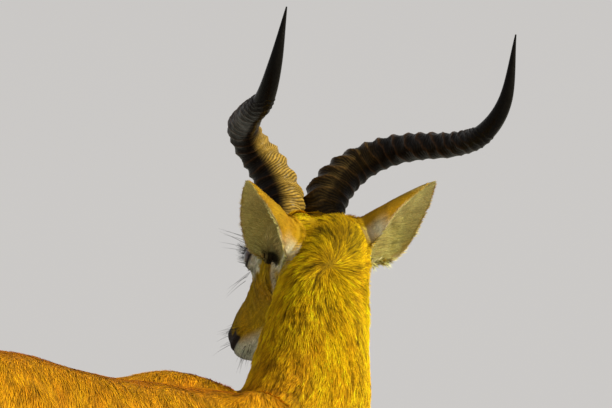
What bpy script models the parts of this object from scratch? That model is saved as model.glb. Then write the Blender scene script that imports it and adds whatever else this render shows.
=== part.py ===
"""A life-size standing male Uganda kob that looks back over its left side.

Run with:  blender --background --python part.py

Metres, +Z up, the animal's body heads along +X and its left side is +Y.
The flesh is modelled whole, from lofted tubes and muscle ellipsoids that a voxel
remesh melts together, and is then parted with thin plane cuts into head, neck,
trunk, tail and legs.  Horns, ears, eyes and hooves are pieces of their own.
"""

import math

import bmesh
import bpy
from mathutils import Matrix, Vector

# ----------------------------------------------------------------------------
# Driving dimensions
# ----------------------------------------------------------------------------
CENTIMETRE = 0.01
GAP = 0.0003                    # clearance between two pieces that meet

# The head has its own frame: x runs from the poll to the nose along the profile
# of the face, y to the animal's left and z out of the forehead, in centimetres.
HEAD_ORIGIN = Vector((0.613, 0.083, 1.176))
HEAD_YAW = math.radians(63.0)   # turned to the left of the body's heading
HEAD_PITCH = math.radians(36.5)  # the face slopes down
HEAD_ROLL = math.radians(10.0)  # the left side is the higher one

# Trunk stations: X, top, bottom, half width, height of the widest level.
TRUNK_STATIONS = (
    (-0.548, 0.850, 0.740, 0.030, 0.800),
    (-0.520, 0.892, 0.680, 0.072, 0.790),
    (-0.450, 0.945, 0.620, 0.112, 0.780),
    (-0.330, 0.978, 0.585, 0.130, 0.765),
    (-0.200, 0.965, 0.560, 0.134, 0.740),
    (-0.060, 0.940, 0.535, 0.146, 0.715),
    (0.080, 0.924, 0.510, 0.152, 0.700),
    (0.200, 0.914, 0.496, 0.144, 0.690),
    (0.310, 0.903, 0.494, 0.128, 0.685),
    (0.400, 0.890, 0.520, 0.106, 0.690),
    (0.460, 0.830, 0.565, 0.078, 0.695),
    (0.500, 0.760, 0.620, 0.035, 0.690),
)

# Neck stations: centre, yaw, slope from upright, dorsal, ventral and side radii.
NECK_STATIONS = (
    ((0.330, 0.000, 0.730), 0, 50, 0.140, 0.150, 0.096),
    ((0.408, 0.002, 0.805), 8, 40, 0.118, 0.135, 0.093),
    ((0.471, 0.004, 0.890), 20, 28, 0.098, 0.116, 0.090),
    ((0.518, 0.019, 0.987), 33, 26, 0.083, 0.094, 0.0755),
    ((0.551, 0.031, 1.052), 41, 26, 0.073, 0.080, 0.066),
    ((0.580, 0.043, 1.103), 52, 24, 0.062, 0.070, 0.060),
    ((0.597, 0.056, 1.134), 60, 24, 0.044, 0.052, 0.045),
)

# Head stations: x, top, bottom, half width, level of the widest place.
HEAD_STATIONS = (
    (-3.2, -7.4, -11.6, 3.4, -9.4),
    (-1.8, -5.2, -13.2, 4.8, -8.8),
    (0.5, -2.9, -14.2, 5.6, -8.0),
    (3.5, -1.0, -14.6, 5.9, -7.2),
    (6.5, -0.1, -14.2, 5.8, -6.2),
    (9.5, 0.1, -13.0, 5.7, -5.2),
    (12.5, -0.2, -11.6, 5.4, -4.6),
    (15.5, -0.9, -10.3, 4.4, -4.6),
    (19.0, -1.4, -9.2, 3.5, -4.9),
    (22.5, -1.3, -8.9, 3.3, -5.2),
    (25.5, -1.5, -9.1, 3.4, -5.4),
    (27.8, -2.3, -9.0, 3.1, -5.6),
    (29.2, -3.6, -8.2, 2.3, -5.8),
    (29.8, -5.2, -6.9, 1.0, -6.0),
)

# Leg stations: X, Y, Z, fore-and-aft radius, side radius (left legs).
FORELEG_STATIONS = (
    (0.340, 0.086, 0.680, 0.075, 0.045),
    (0.318, 0.094, 0.600, 0.072, 0.046),
    (0.300, 0.096, 0.530, 0.060, 0.041),
    (0.312, 0.094, 0.460, 0.043, 0.034),
    (0.330, 0.091, 0.385, 0.030, 0.026),
    (0.340, 0.090, 0.330, 0.0255, 0.0235),
    (0.343, 0.090, 0.300, 0.0275, 0.0255),
    (0.342, 0.090, 0.270, 0.0245, 0.0225),
    (0.342, 0.090, 0.235, 0.0185, 0.0170),
    (0.344, 0.090, 0.175, 0.0165, 0.0150),
    (0.344, 0.090, 0.125, 0.0175, 0.0165),
    (0.344, 0.090, 0.100, 0.0220, 0.0210),
    (0.354, 0.090, 0.074, 0.0185, 0.0190),
    (0.366, 0.090, 0.050, 0.0210, 0.0220),
    (0.372, 0.090, 0.030, 0.0220, 0.0220),
)
HINDLEG_STATIONS = (
    (-0.385, 0.060, 0.790, 0.110, 0.050),
    (-0.385, 0.082, 0.700, 0.128, 0.056),
    (-0.350, 0.092, 0.610, 0.112, 0.050),
    (-0.325, 0.094, 0.545, 0.078, 0.042),
    (-0.350, 0.094, 0.485, 0.054, 0.035),
    (-0.400, 0.093, 0.430, 0.036, 0.027),
    (-0.447, 0.092, 0.385, 0.031, 0.0235),
    (-0.466, 0.092, 0.350, 0.0330, 0.0240),
    (-0.468, 0.092, 0.310, 0.0270, 0.0210),
    (-0.462, 0.092, 0.250, 0.0200, 0.0165),
    (-0.456, 0.092, 0.185, 0.0180, 0.0155),
    (-0.452, 0.092, 0.135, 0.0185, 0.0170),
    (-0.450, 0.092, 0.106, 0.0225, 0.0210),
    (-0.438, 0.092, 0.078, 0.0190, 0.0190),
    (-0.425, 0.092, 0.052, 0.0210, 0.0215),
    (-0.419, 0.092, 0.030, 0.0220, 0.0215),
)
# How far each foot is set from its station line: forward shift at the ground.
STANCE = {
    "foreleg_left": 0.045,
    "foreleg_right": -0.040,
    "hindleg_left": -0.055,
    "hindleg_right": 0.040,
}
STANCE_TOP = {"foreleg": 0.60, "hindleg": 0.70}   # where a leg's swing begins

TAIL_STATIONS = (
    (-0.500, 0.0, 0.880, 0.022),
    (-0.540, 0.0, 0.872, 0.020),
    (-0.572, 0.0, 0.840, 0.0165),
    (-0.586, 0.003, 0.790, 0.0145),
    (-0.588, 0.006, 0.735, 0.0155),
    (-0.586, 0.010, 0.680, 0.0210),
    (-0.582, 0.013, 0.630, 0.0220),
    (-0.580, 0.015, 0.590, 0.0140),
    (-0.579, 0.016, 0.570, 0.0050),
)

# Muscle and bone masses: name, centre, radii and tilt about Y in degrees.
BODY_MASSES = (
    ("shoulder_blade_left", (0.220, 0.068, 0.795), (0.150, 0.046, 0.128), -8),
    ("withers_left", (0.231, 0.066, 0.851), (0.196, 0.046, 0.081), 0),
    ("shoulder_blade_right", (0.240, -0.072, 0.788), (0.130, 0.046, 0.122), -8),
    ("shoulder_left", (0.375, 0.083, 0.655), (0.088, 0.052, 0.125), 22),
    ("shoulder_right", (0.375, -0.083, 0.655), (0.088, 0.052, 0.125), 22),
    ("upper_arm_left", (0.290, 0.100, 0.600), (0.080, 0.042, 0.105), -35),
    ("upper_arm_right", (0.290, -0.100, 0.600), (0.080, 0.042, 0.105), -35),
    ("haunch_left", (-0.410, 0.072, 0.745), (0.125, 0.064, 0.175), 18),
    ("haunch_right", (-0.410, -0.072, 0.745), (0.125, 0.064, 0.175), 18),
    ("hip_left", (-0.300, 0.076, 0.850), (0.085, 0.050, 0.085), 0),
    ("hip_right", (-0.300, -0.076, 0.850), (0.085, 0.050, 0.085), 0),
    ("breast", (0.430, 0.0, 0.640), (0.085, 0.070, 0.110), 20),
)
# Head masses in head centimetres: centre, radii; the sided ones are mirrored.
HEAD_MASSES = (
    ("orbit", (11.5, 4.5, -3.1), (2.8, 2.05, 2.3)),
    ("cheek", (6.2, 3.9, -9.6), (4.6, 2.1, 4.0)),
    ("nostril_wing", (27.6, 1.9, -4.7), (1.9, 1.35, 1.35)),
    ("upper_lip", (26.0, 1.7, -6.6), (3.0, 1.5, 1.5)),
    ("ear_root", (2.4, 5.1, -6.4), (2.6, 2.2, 3.0)),
    ("horn_boss", (6.2, 2.6, -0.6), (3.6, 3.2, 2.2)),
)

# Horn axis in head centimetres, from inside the skull to the tip (left horn).
HORN_AXIS = (
    (6.6, 3.4, -2.2),
    (4.8, 3.3, 1.9),
    (3.1, 5.5, 5.8),
    (1.1, 8.7, 8.1),
    (-2.7, 11.5, 7.75),
    (-8.05, 13.4, 4.8),
    (-13.95, 15.6, 1.1),
    (-20.4, 16.7, -1.7),
    (-26.9, 17.5, -0.4),
    (-32.4, 17.3, 5.3),
)
HORN_RADII = (2.95, 2.88, 2.60, 2.25, 1.98, 1.78, 1.62, 1.40, 0.97, 0.10)
HORN_TIP_REACH = {1: 0.0, -1: 1.25}  # how much longer each side's horn is at its tip
HORN_TIP_LINE = (-0.70, 0.0, 0.72)
HORN_RINGS = 19                 # raised rings, widest apart in the middle
HORN_RINGED_SHARE = 0.76        # of the length; the tip beyond is smooth
HORN_RING_DEPTH = 0.21          # of the radius, on the front of the horn
HORN_FRONT_SHARE = 0.80         # of the depth, which fades away from the ringed face
HORN_RINGED_TURN = 40           # degrees from the front to the inner side: the ringed face
HORN_SIDES = 10

# Ears in head centimetres: root, tip and the way the cup opens.
EARS = {
    "ear_left": ((2.4, 4.1, -8.9), (-7.2, 14.5, -5.5), (-0.17, 0.825, -0.54)),
    "ear_right": ((0.6, -4.8, -7.9), (-9.0, -14.4, -1.9), (-0.376, -0.43, -0.82)),
}
# Along the ear: radius and half angle of the rolled cup.
EAR_RADII = (2.9, 3.4, 3.75, 3.75, 3.5, 3.0, 2.36, 1.45, 0.30)
EAR_HALF_ANGLES = (150, 138, 128, 116, 106, 99, 94, 92, 80)
EAR_BULGE = 2.4                 # how far the back stands out at the root
EAR_BULGE_FADE = 0.65           # power by which it dies away to the tip
EAR_THICKNESS = 0.0042

EYE_CENTRE = (11.8, 4.95, -3.35)
EYE_RADIUS = 0.0185

HOOF_HEIGHT = 0.044             # height of the coronet above the ground
HOOF_LENGTH = 0.078
HOOF_WIDTH = 0.026              # of one claw
CLAW_SIDES = 8
CLAW_SPREAD = 0.0135            # from the leg's centre line to a claw's

# Meshing
BODY_VOXEL = 0.006
HEAD_VOXEL = 0.004
BODY_TRIANGLES = 3800
HEAD_TRIANGLES = 2600
LOFT_SIDES = 28

# Plane cuts: a point and the normal that points towards the outer piece.
NECK_CUT = ((0.452, 0.0, 0.800), (0.80, 0.0, 0.60))
# The head leaves the neck along a wedge, in head centimetres on the middle plane:
# down behind the jaws from the nape, and then forwards under the jaws.
NAPE_POINT = (-3.4, -4.0)
THROAT_POINT = (4.4, -15.5)
UNDER_JAW_POINT = (30.0, -10.5)
WEDGE_REACH = 40.0
LEG_CUT = 0.468                 # height of the cut between trunk and legs
TAIL_CUT = -0.557
CORONET_CUT = HOOF_HEIGHT + GAP


# ----------------------------------------------------------------------------
# Small tools
# ----------------------------------------------------------------------------
def clear_scene():
    """Remove whatever the start-up file holds."""
    for scene_object in list(bpy.data.objects):
        bpy.data.objects.remove(scene_object)


def new_collection(name):
    """A collection linked to the scene."""
    collection = bpy.data.collections.new(name)
    bpy.context.scene.collection.children.link(collection)
    return collection


def material(name, colour, roughness, metallic=0.0):
    """A plain Principled material."""
    made = bpy.data.materials.new(name)
    made.use_nodes = True
    shader = made.node_tree.nodes["Principled BSDF"]
    shader.inputs["Base Color"].default_value = (*colour, 1.0)
    shader.inputs["Roughness"].default_value = roughness
    shader.inputs["Metallic"].default_value = metallic
    return made


def spline(points, share):
    """A Catmull-Rom value through points (tuples of numbers) at share 0..1."""
    count = len(points) - 1
    place = min(max(share, 0.0), 1.0) * count
    i = min(int(place), count - 1)
    t = place - i
    p1, p2 = points[i], points[i + 1]
    p0 = points[i - 1] if i > 0 else [2 * a - b for a, b in zip(p1, p2)]
    p3 = points[i + 2] if i + 2 <= count else [2 * b - a for a, b in zip(p1, p2)]
    return tuple(
        0.5 * (2 * b + (c - a) * t + (2 * a - 5 * b + 4 * c - d) * t * t
               + (3 * b - a - 3 * c + d) * t ** 3)
        for a, b, c, d in zip(p0, p1, p2, p3)
    )


def head_matrix():
    """Carries head centimetres to world metres."""
    turn = (
        Matrix.Rotation(HEAD_YAW, 4, "Z")
        @ Matrix.Rotation(HEAD_PITCH, 4, "Y")
        @ Matrix.Rotation(HEAD_ROLL, 4, "X")
    )
    return Matrix.Translation(HEAD_ORIGIN) @ turn @ Matrix.Scale(CENTIMETRE, 4)


def ring(centre, dorsal, side, up, down, half_width, sides, fullness=2.0):
    """Points of a rounded section: up and down are its radii along dorsal."""
    points = []
    for k in range(sides):
        angle = 2 * math.pi * k / sides
        c, s = math.cos(angle), math.sin(angle)
        across = math.copysign(abs(c) ** (2 / fullness), c) * half_width
        along = math.copysign(abs(s) ** (2 / fullness), s) * (up if s > 0 else down)
        points.append(centre + side * across + dorsal * along)
    return points


def loft(name, rings):
    """A closed tube through rings of equal length, with fans at both ends."""
    bm = bmesh.new()
    rows = [[bm.verts.new(p) for p in points] for points in rings]
    sides = len(rows[0])
    for near, far in zip(rows, rows[1:]):
        for k in range(sides):
            j = (k + 1) % sides
            bm.faces.new((near[k], near[j], far[j], far[k]))
    for row in (rows[0], rows[-1]):
        middle = bm.verts.new(sum((v.co for v in row), Vector()) / sides)
        for k in range(sides):
            bm.faces.new((row[k], row[(k + 1) % sides], middle))
    bmesh.ops.recalc_face_normals(bm, faces=bm.faces)
    mesh = bpy.data.meshes.new(name)
    bm.to_mesh(mesh)
    bm.free()
    return mesh


def ellipsoid(name, centre, radii, frame):
    """A UV sphere scaled to radii about centre, carried by frame."""
    bm = bmesh.new()
    bmesh.ops.create_uvsphere(bm, u_segments=24, v_segments=16, radius=1.0)
    place = frame @ Matrix.Translation(centre) @ Matrix.Diagonal((*radii, 1.0))
    bmesh.ops.transform(bm, matrix=place, verts=bm.verts)
    mesh = bpy.data.meshes.new(name)
    bm.to_mesh(mesh)
    bm.free()
    return mesh


# ----------------------------------------------------------------------------
# The masses that make the flesh
# ----------------------------------------------------------------------------
def trunk_mesh(steps=40):
    """Barrel of the body from rump to breast, in upright sections."""
    rings = []
    for n in range(steps + 1):
        x, top, bottom, half, level = spline(TRUNK_STATIONS, n / steps)
        rings.append(
            ring(Vector((x, 0, level)), Vector((0, 0, 1)), Vector((0, 1, 0)),
                 top - level, level - bottom, half, LOFT_SIDES, 2.15)
        )
    return loft("trunk", rings)


def neck_mesh(steps=24):
    """The neck, which bends and twists to the left on its way up."""
    rows = [(*centre, *rest) for centre, *rest in NECK_STATIONS]
    rings = []
    for n in range(steps + 1):
        x, y, z, yaw, slope, dorsal, ventral, half = spline(rows, n / steps)
        heading = Vector((math.cos(math.radians(yaw)), math.sin(math.radians(yaw)), 0))
        tilt = math.radians(slope)
        back = heading * -math.cos(tilt) + Vector((0, 0, math.sin(tilt)))
        side = Vector((-heading.y, heading.x, 0))
        rings.append(
            ring(Vector((x, y, z)), back, side, dorsal, ventral, half, LOFT_SIDES)
        )
    return loft("neck", rings)


def head_mesh(steps=44):
    """The head from the nape to the nose pad."""
    frame = head_matrix()
    rings = []
    for n in range(steps + 1):
        x, top, bottom, half, level = spline(HEAD_STATIONS, n / steps)
        section = ring(Vector((x, 0, level)), Vector((0, 0, 1)), Vector((0, 1, 0)),
                       top - level, level - bottom, half, LOFT_SIDES, 2.1)
        rings.append([frame @ point for point in section])
    return loft("head", rings)


def stance_shift(leg, z):
    """How far a point of this leg at height z is moved along X."""
    start = STANCE_TOP[leg.split("_")[0]]
    share = max(0.0, 1.0 - z / start)
    return STANCE[leg] * min(1.0, share * 1.15)


def leg_mesh(leg, steps=48):
    """One leg from inside the body down into the hoof."""
    stations = FORELEG_STATIONS if leg.startswith("fore") else HINDLEG_STATIONS
    side = 1 if leg.endswith("left") else -1
    rings = []
    for n in range(steps + 1):
        x, y, z, fore, across = spline(stations, n / steps)
        centre = Vector((x + stance_shift(leg, z), y * side, z))
        rings.append(ring(centre, Vector((1, 0, 0)), Vector((0, 1, 0)),
                          fore, fore, across, 20))
    return loft(leg, rings)


def hock_mesh(leg):
    """The tendon and heel bone that stand out behind a hind leg."""
    side = 1 if leg.endswith("left") else -1
    path = (
        (-0.400, 0.094, 0.520, 0.016),
        (-0.450, 0.093, 0.450, 0.0105),
        (-0.488, 0.092, 0.402, 0.0125),
        (-0.494, 0.092, 0.380, 0.0145),
        (-0.484, 0.092, 0.330, 0.0120),
    )
    rings = []
    for n in range(17):
        x, y, z, radius = spline(path, n / 16)
        centre = Vector((x + stance_shift(leg, z), y * side, z))
        rings.append(ring(centre, Vector((1, 0, 0)), Vector((0, 1, 0)),
                          radius, radius, radius * 0.85, 12))
    return loft("hock_" + leg, rings)


def tail_mesh(steps=28):
    """The hanging tail with its fuller tip."""
    rings = []
    for n in range(steps + 1):
        x, y, z, radius = spline(TAIL_STATIONS, n / steps)
        ahead = Vector(spline(TAIL_STATIONS, min(1.0, n / steps + 0.02))[:3])
        behind = Vector(spline(TAIL_STATIONS, max(0.0, n / steps - 0.02))[:3])
        along = (ahead - behind).normalized()
        side = Vector((0, 1, 0))
        rings.append(ring(Vector((x, y, z)), side.cross(along), side,
                          radius * 0.85, radius * 0.85, radius, 14))
    return loft("tail", rings)


def mass_meshes():
    """Muscle ellipsoids of the body and the paired masses of the head."""
    made = []
    for name, centre, radii, tilt in BODY_MASSES:
        turn = Matrix.Rotation(math.radians(tilt), 4, "Y")
        frame = Matrix.Translation(centre) @ turn
        made.append(ellipsoid(name, (0, 0, 0), radii, frame))
    return made


def head_mass_meshes():
    """Orbits, cheeks, nostril wings, lips, ear roots and horn bosses."""
    frame = head_matrix()
    made = []
    for name, (x, y, z), radii in HEAD_MASSES:
        for side in (1, -1):
            made.append(ellipsoid(name, (x, y * side, z), radii, frame))
    return made


# ----------------------------------------------------------------------------
# From masses to solids
# ----------------------------------------------------------------------------
def joined(name, meshes, collection):
    """One object that holds copies of all these meshes, which are then removed."""
    bm = bmesh.new()
    for mesh in meshes:
        bm.from_mesh(mesh)
    mesh = bpy.data.meshes.new(name)
    bm.to_mesh(mesh)
    bm.free()
    made = bpy.data.objects.new(name, mesh)
    collection.objects.link(made)
    return made


def baked(scene_object):
    """The object's evaluated mesh as a new mesh."""
    graph = bpy.context.evaluated_depsgraph_get()
    graph.update()
    return bpy.data.meshes.new_from_object(scene_object.evaluated_get(graph))


def melted(name, meshes, voxel, triangles, smooth_from, collection):
    """The meshes melted into one skin-tight surface of about this many triangles.

    Only what lies above smooth_from is smoothed, so that thin legs keep their girth.
    """
    source = joined(name, meshes, collection)
    remesh = source.modifiers.new("melt", "REMESH")
    remesh.mode = "VOXEL"
    remesh.voxel_size = voxel
    source.data = baked(source)
    source.modifiers.clear()
    group = source.vertex_groups.new(name="soft")
    for vertex in source.data.vertices:
        height = vertex.co.z
        group.add([vertex.index], min(1.0, max(0.05, (height - smooth_from) / 0.08)),
                  "REPLACE")
    soften = source.modifiers.new("soften", "SMOOTH")
    soften.factor = 0.5
    soften.iterations = 14
    soften.vertex_group = "soft"
    source.data = baked(source)
    source.modifiers.clear()
    reduce = source.modifiers.new("reduce", "DECIMATE")
    reduce.ratio = triangles / (2 * len(source.data.polygons))
    reduce.use_collapse_triangulate = True
    source.data = baked(source)
    source.modifiers.clear()
    source.hide_render = True
    source.display_type = "WIRE"
    return source


def cut(mesh, point, normal, gap=GAP):
    """The part of a mesh on the far side of a plane, closed again with a flat cap."""
    normal = Vector(normal).normalized()
    bm = bmesh.new()
    bm.from_mesh(mesh)
    bmesh.ops.bisect_plane(
        bm, geom=bm.verts[:] + bm.edges[:] + bm.faces[:], dist=1e-6,
        plane_co=Vector(point) + normal * gap / 2, plane_no=normal, clear_inner=True,
    )
    rim = [edge for edge in bm.edges if edge.is_boundary]
    bmesh.ops.holes_fill(bm, edges=rim, sides=0)
    bmesh.ops.triangulate(bm, faces=bm.faces)
    bmesh.ops.recalc_face_normals(bm, faces=bm.faces)
    made = bpy.data.meshes.new(mesh.name)
    bm.to_mesh(made)
    bm.free()
    return made


def place(name, mesh, finish, collection, smooth=True):
    """A visible node with its material."""
    mesh.name = name
    mesh.materials.clear()
    mesh.materials.append(finish)
    if smooth:
        mesh.shade_smooth()
        mesh.set_sharp_from_angle(angle=math.radians(50))
    made = bpy.data.objects.new(name, mesh)
    collection.objects.link(made)
    return made



def swollen(source, name, amount, collection):
    """A hidden copy of an object, grown by amount along its normals, to cut with."""
    made = bpy.data.objects.new(name, source.data.copy())
    collection.objects.link(made)
    grow = made.modifiers.new("grow", "DISPLACE")
    grow.mid_level = 0.0
    grow.strength = amount
    made.data = baked(made)
    made.modifiers.clear()
    made.hide_render = True
    made.display_type = "WIRE"
    return made


def trim(piece, cutter, operation="DIFFERENCE"):
    """Cut a piece with another object and keep the largest body that is left."""
    take = piece.modifiers.new("trim", "BOOLEAN")
    take.operation = operation
    take.solver = "EXACT"
    take.object = cutter
    finish = piece.data.materials[0]
    name = piece.data.name
    mesh = largest_island(baked(piece))
    piece.modifiers.clear()
    piece.data = mesh
    mesh.name = name
    mesh.materials.clear()
    mesh.materials.append(finish)


def islands_of(bm):
    """The connected sets of vertices of a bmesh."""
    remaining = set(bm.verts)
    found = []
    while remaining:
        stack = [remaining.pop()]
        island = set(stack)
        while stack:
            for edge in stack.pop().link_edges:
                for vertex in edge.verts:
                    if vertex not in island:
                        island.add(vertex)
                        remaining.discard(vertex)
                        stack.append(vertex)
        found.append(island)
    return found


def only(mesh, keep):
    """A copy of the mesh with one island, picked by the key function keep."""
    bm = bmesh.new()
    bm.from_mesh(mesh)
    chosen = min(islands_of(bm), key=keep)
    spare = [vertex for vertex in bm.verts if vertex not in chosen]
    bmesh.ops.delete(bm, geom=spare, context="VERTS")
    made = bpy.data.meshes.new(mesh.name)
    bm.to_mesh(made)
    bm.free()
    return made


def largest_island(mesh):
    """Only the island with the most points."""
    return only(mesh, lambda island: -len(island))


def nearest_island(mesh, seed):
    """Only the island whose middle is nearest to a point."""
    seed = Vector(seed)
    return only(mesh, lambda island: (
        sum((vertex.co for vertex in island), Vector()) / len(island) - seed).length)


# ----------------------------------------------------------------------------
# Horns, ears, eyes and hooves
# ----------------------------------------------------------------------------
def horn_stations():
    """Shares of the horn's length, and how much of the ring's depth stands there."""
    widths = [0.55 + 0.8 * math.sin(math.pi * ((k + 0.5) / HORN_RINGS) ** 0.9)
              for k in range(HORN_RINGS)]
    stations = [(0.0, 0.0)]
    low = 0.0
    for k, width in enumerate(widths):
        high = low + width / sum(widths) * HORN_RINGED_SHARE
        rise = min(1.0, 0.45 + 0.11 * k) * (1.0 - 0.45 * k / HORN_RINGS)
        stations.append((low + (high - low) * 0.45, rise))
        stations.append((high, 0.0))
        low = high
    smooth = 7
    for k in range(1, smooth + 1):
        share = HORN_RINGED_SHARE + (1.0 - HORN_RINGED_SHARE) * k / smooth
        stations.append((share, 0.0))
    return stations


def horn_mesh(side):
    """One ringed horn, from under the skin of the forehead to its sharp tip."""
    frame = head_matrix()
    axis = [(x, y * side, z, radius) for (x, y, z), radius in zip(HORN_AXIS, HORN_RADII)]
    reach = HORN_TIP_REACH[side]
    x, y, z, radius = axis[-1]
    axis[-1] = (x + HORN_TIP_LINE[0] * reach, y, z + HORN_TIP_LINE[2] * reach, radius)
    ringed_turn = math.radians(HORN_RINGED_TURN) * -side
    reference = Vector((1, 0, 0))
    rings = []
    for share, rise in horn_stations():
        *centre, radius = spline(axis, share)
        ahead = Vector(spline(axis, min(1.0, share + 0.01))[:3])
        behind = Vector(spline(axis, max(0.0, share - 0.01))[:3])
        along = (ahead - behind).normalized()
        reference = (reference - along * reference.dot(along)).normalized()
        across = along.cross(reference)
        section = []
        for k in range(HORN_SIDES):
            turn = 2 * math.pi * k / HORN_SIDES
            facing = 0.5 + 0.5 * math.cos(turn - ringed_turn)
            front = HORN_FRONT_SHARE * facing**1.3
            reach = radius * (1 + HORN_RING_DEPTH * rise * (1 - HORN_FRONT_SHARE + front))
            section.append(Vector(centre) + reference * reach * math.cos(turn)
                           + across * reach * math.sin(turn))
        rings.append([frame @ point for point in section])
    return loft("horn", rings)


def ear_mesh(name, rows=10, columns=8):
    """The open leaf of an ear as a curled sheet, from its tube to its tip."""
    base, tip, opening = (Vector(v) for v in EARS[name])
    frame = head_matrix()
    along = (tip - base).normalized()
    opening = (opening - along * opening.dot(along)).normalized()
    across = along.cross(opening)
    length = (tip - base).length
    profile = list(zip(EAR_RADII, EAR_HALF_ANGLES))
    bm = bmesh.new()
    grid = []
    for row in range(rows):
        share = row / (rows - 1)
        radius, angle = spline(profile, share)
        half = math.radians(angle)
        bulge = EAR_BULGE * (1 - share) ** EAR_BULGE_FADE
        centre = base + along * length * share - opening * bulge
        line = []
        for column in range(columns):
            turn = half * (2 * column / (columns - 1) - 1)
            point = (centre + opening * radius * (1 - math.cos(turn))
                     + across * radius * math.sin(turn))
            line.append(bm.verts.new(frame @ point))
        grid.append(line)
    for low, high in zip(grid, grid[1:]):
        for column in range(columns - 1):
            bm.faces.new((low[column], low[column + 1], high[column + 1], high[column]))
    mesh = bpy.data.meshes.new(name)
    bm.to_mesh(mesh)
    bm.free()
    return mesh


def eye_mesh(side):
    """An eyeball in its socket."""
    x, y, z = EYE_CENTRE
    centre = head_matrix() @ Vector((x, y * side, z))
    bm = bmesh.new()
    bmesh.ops.create_icosphere(bm, subdivisions=2, radius=EYE_RADIUS)
    bmesh.ops.translate(bm, verts=bm.verts, vec=centre)
    mesh = bpy.data.meshes.new("eye")
    bm.to_mesh(mesh)
    bm.free()
    return mesh


def claw_mesh(leg, half):
    """One claw of a cloven hoof: half is 1 for the outer claw and -1 for the inner."""
    stations = FORELEG_STATIONS if leg.startswith("fore") else HINDLEG_STATIONS
    side = 1 if leg.endswith("left") else -1
    middle = stations[-1][0] + stance_shift(leg, 0.0)
    level_y = stations[-1][1] * side + CLAW_SPREAD * half * side
    rings = []
    for share in (0.0, 0.06, 0.5, 1.0):
        z = HOOF_HEIGHT * share
        rim = 0.93 if share == 0.0 else 1.0
        heel = middle - HOOF_LENGTH * (0.44 - 0.06 * share)
        toe = middle + HOOF_LENGTH * (0.56 - 0.34 * share)
        reach = (toe - heel) / 2 * rim
        width = HOOF_WIDTH / 2 * (1.0 - 0.14 * share) * rim
        points = []
        for k in range(CLAW_SIDES):
            angle = 2 * math.pi * k / CLAW_SIDES
            c, s = math.cos(angle), math.sin(angle)
            points.append(Vector((
                (toe + heel) / 2 + reach * c,
                level_y + width * s * (1.0 - 0.30 * max(0.0, c))
                - half * side * 0.003 * max(0.0, c) * (1.0 - share),
                z,
            )))
        rings.append(points)
    return loft("claw", rings)


# ----------------------------------------------------------------------------
# The animal
# ----------------------------------------------------------------------------
def head_wedge(name, clearance, collection):
    """A hidden prism round the head, its two parting faces moved out by clearance."""
    nape, throat, chin = (Vector((x, 0, z)) for x, z in
                          (NAPE_POINT, THROAT_POINT, UNDER_JAW_POINT))
    move = clearance / CENTIMETRE
    down = (throat - nape).normalized()
    ahead = (chin - throat).normalized()
    behind_jaw = Vector((down.z, 0, -down.x)) * move
    under_jaw = Vector((ahead.z, 0, -ahead.x)) * move
    corner = throat + (behind_jaw + under_jaw) / (1 + down.dot(ahead))
    outline = (
        corner,
        nape + behind_jaw - down * WEDGE_REACH,
        nape - down * WEDGE_REACH + ahead * 2 * WEDGE_REACH,
        throat + under_jaw + ahead * WEDGE_REACH,
    )
    frame = head_matrix()
    reach = Vector((0, WEDGE_REACH, 0))
    bm = bmesh.new()
    near = [bm.verts.new(frame @ (point - reach)) for point in outline]
    far = [bm.verts.new(frame @ (point + reach)) for point in outline]
    bm.faces.new(near)
    bm.faces.new(far)
    for k in range(len(outline)):
        j = (k + 1) % len(outline)
        bm.faces.new((near[k], near[j], far[j], far[k]))
    bmesh.ops.recalc_face_normals(bm, faces=bm.faces)
    mesh = bpy.data.meshes.new(name)
    bm.to_mesh(mesh)
    bm.free()
    made = bpy.data.objects.new(name, mesh)
    collection.objects.link(made)
    made.hide_render = True
    made.display_type = "WIRE"
    return made


def stand_at_origin(objects):
    """Move every mesh so that the box of them all is centred on X and Y and sits at Z = 0."""
    points = [vertex.co for piece in objects for vertex in piece.data.vertices]
    low = Vector(min(p[axis] for p in points) for axis in range(3))
    high = Vector(max(p[axis] for p in points) for axis in range(3))
    shift = Vector((-(low.x + high.x) / 2, -(low.y + high.y) / 2, -low.z))
    for mesh in {piece.data for piece in objects}:
        mesh.transform(Matrix.Translation(shift))


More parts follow.
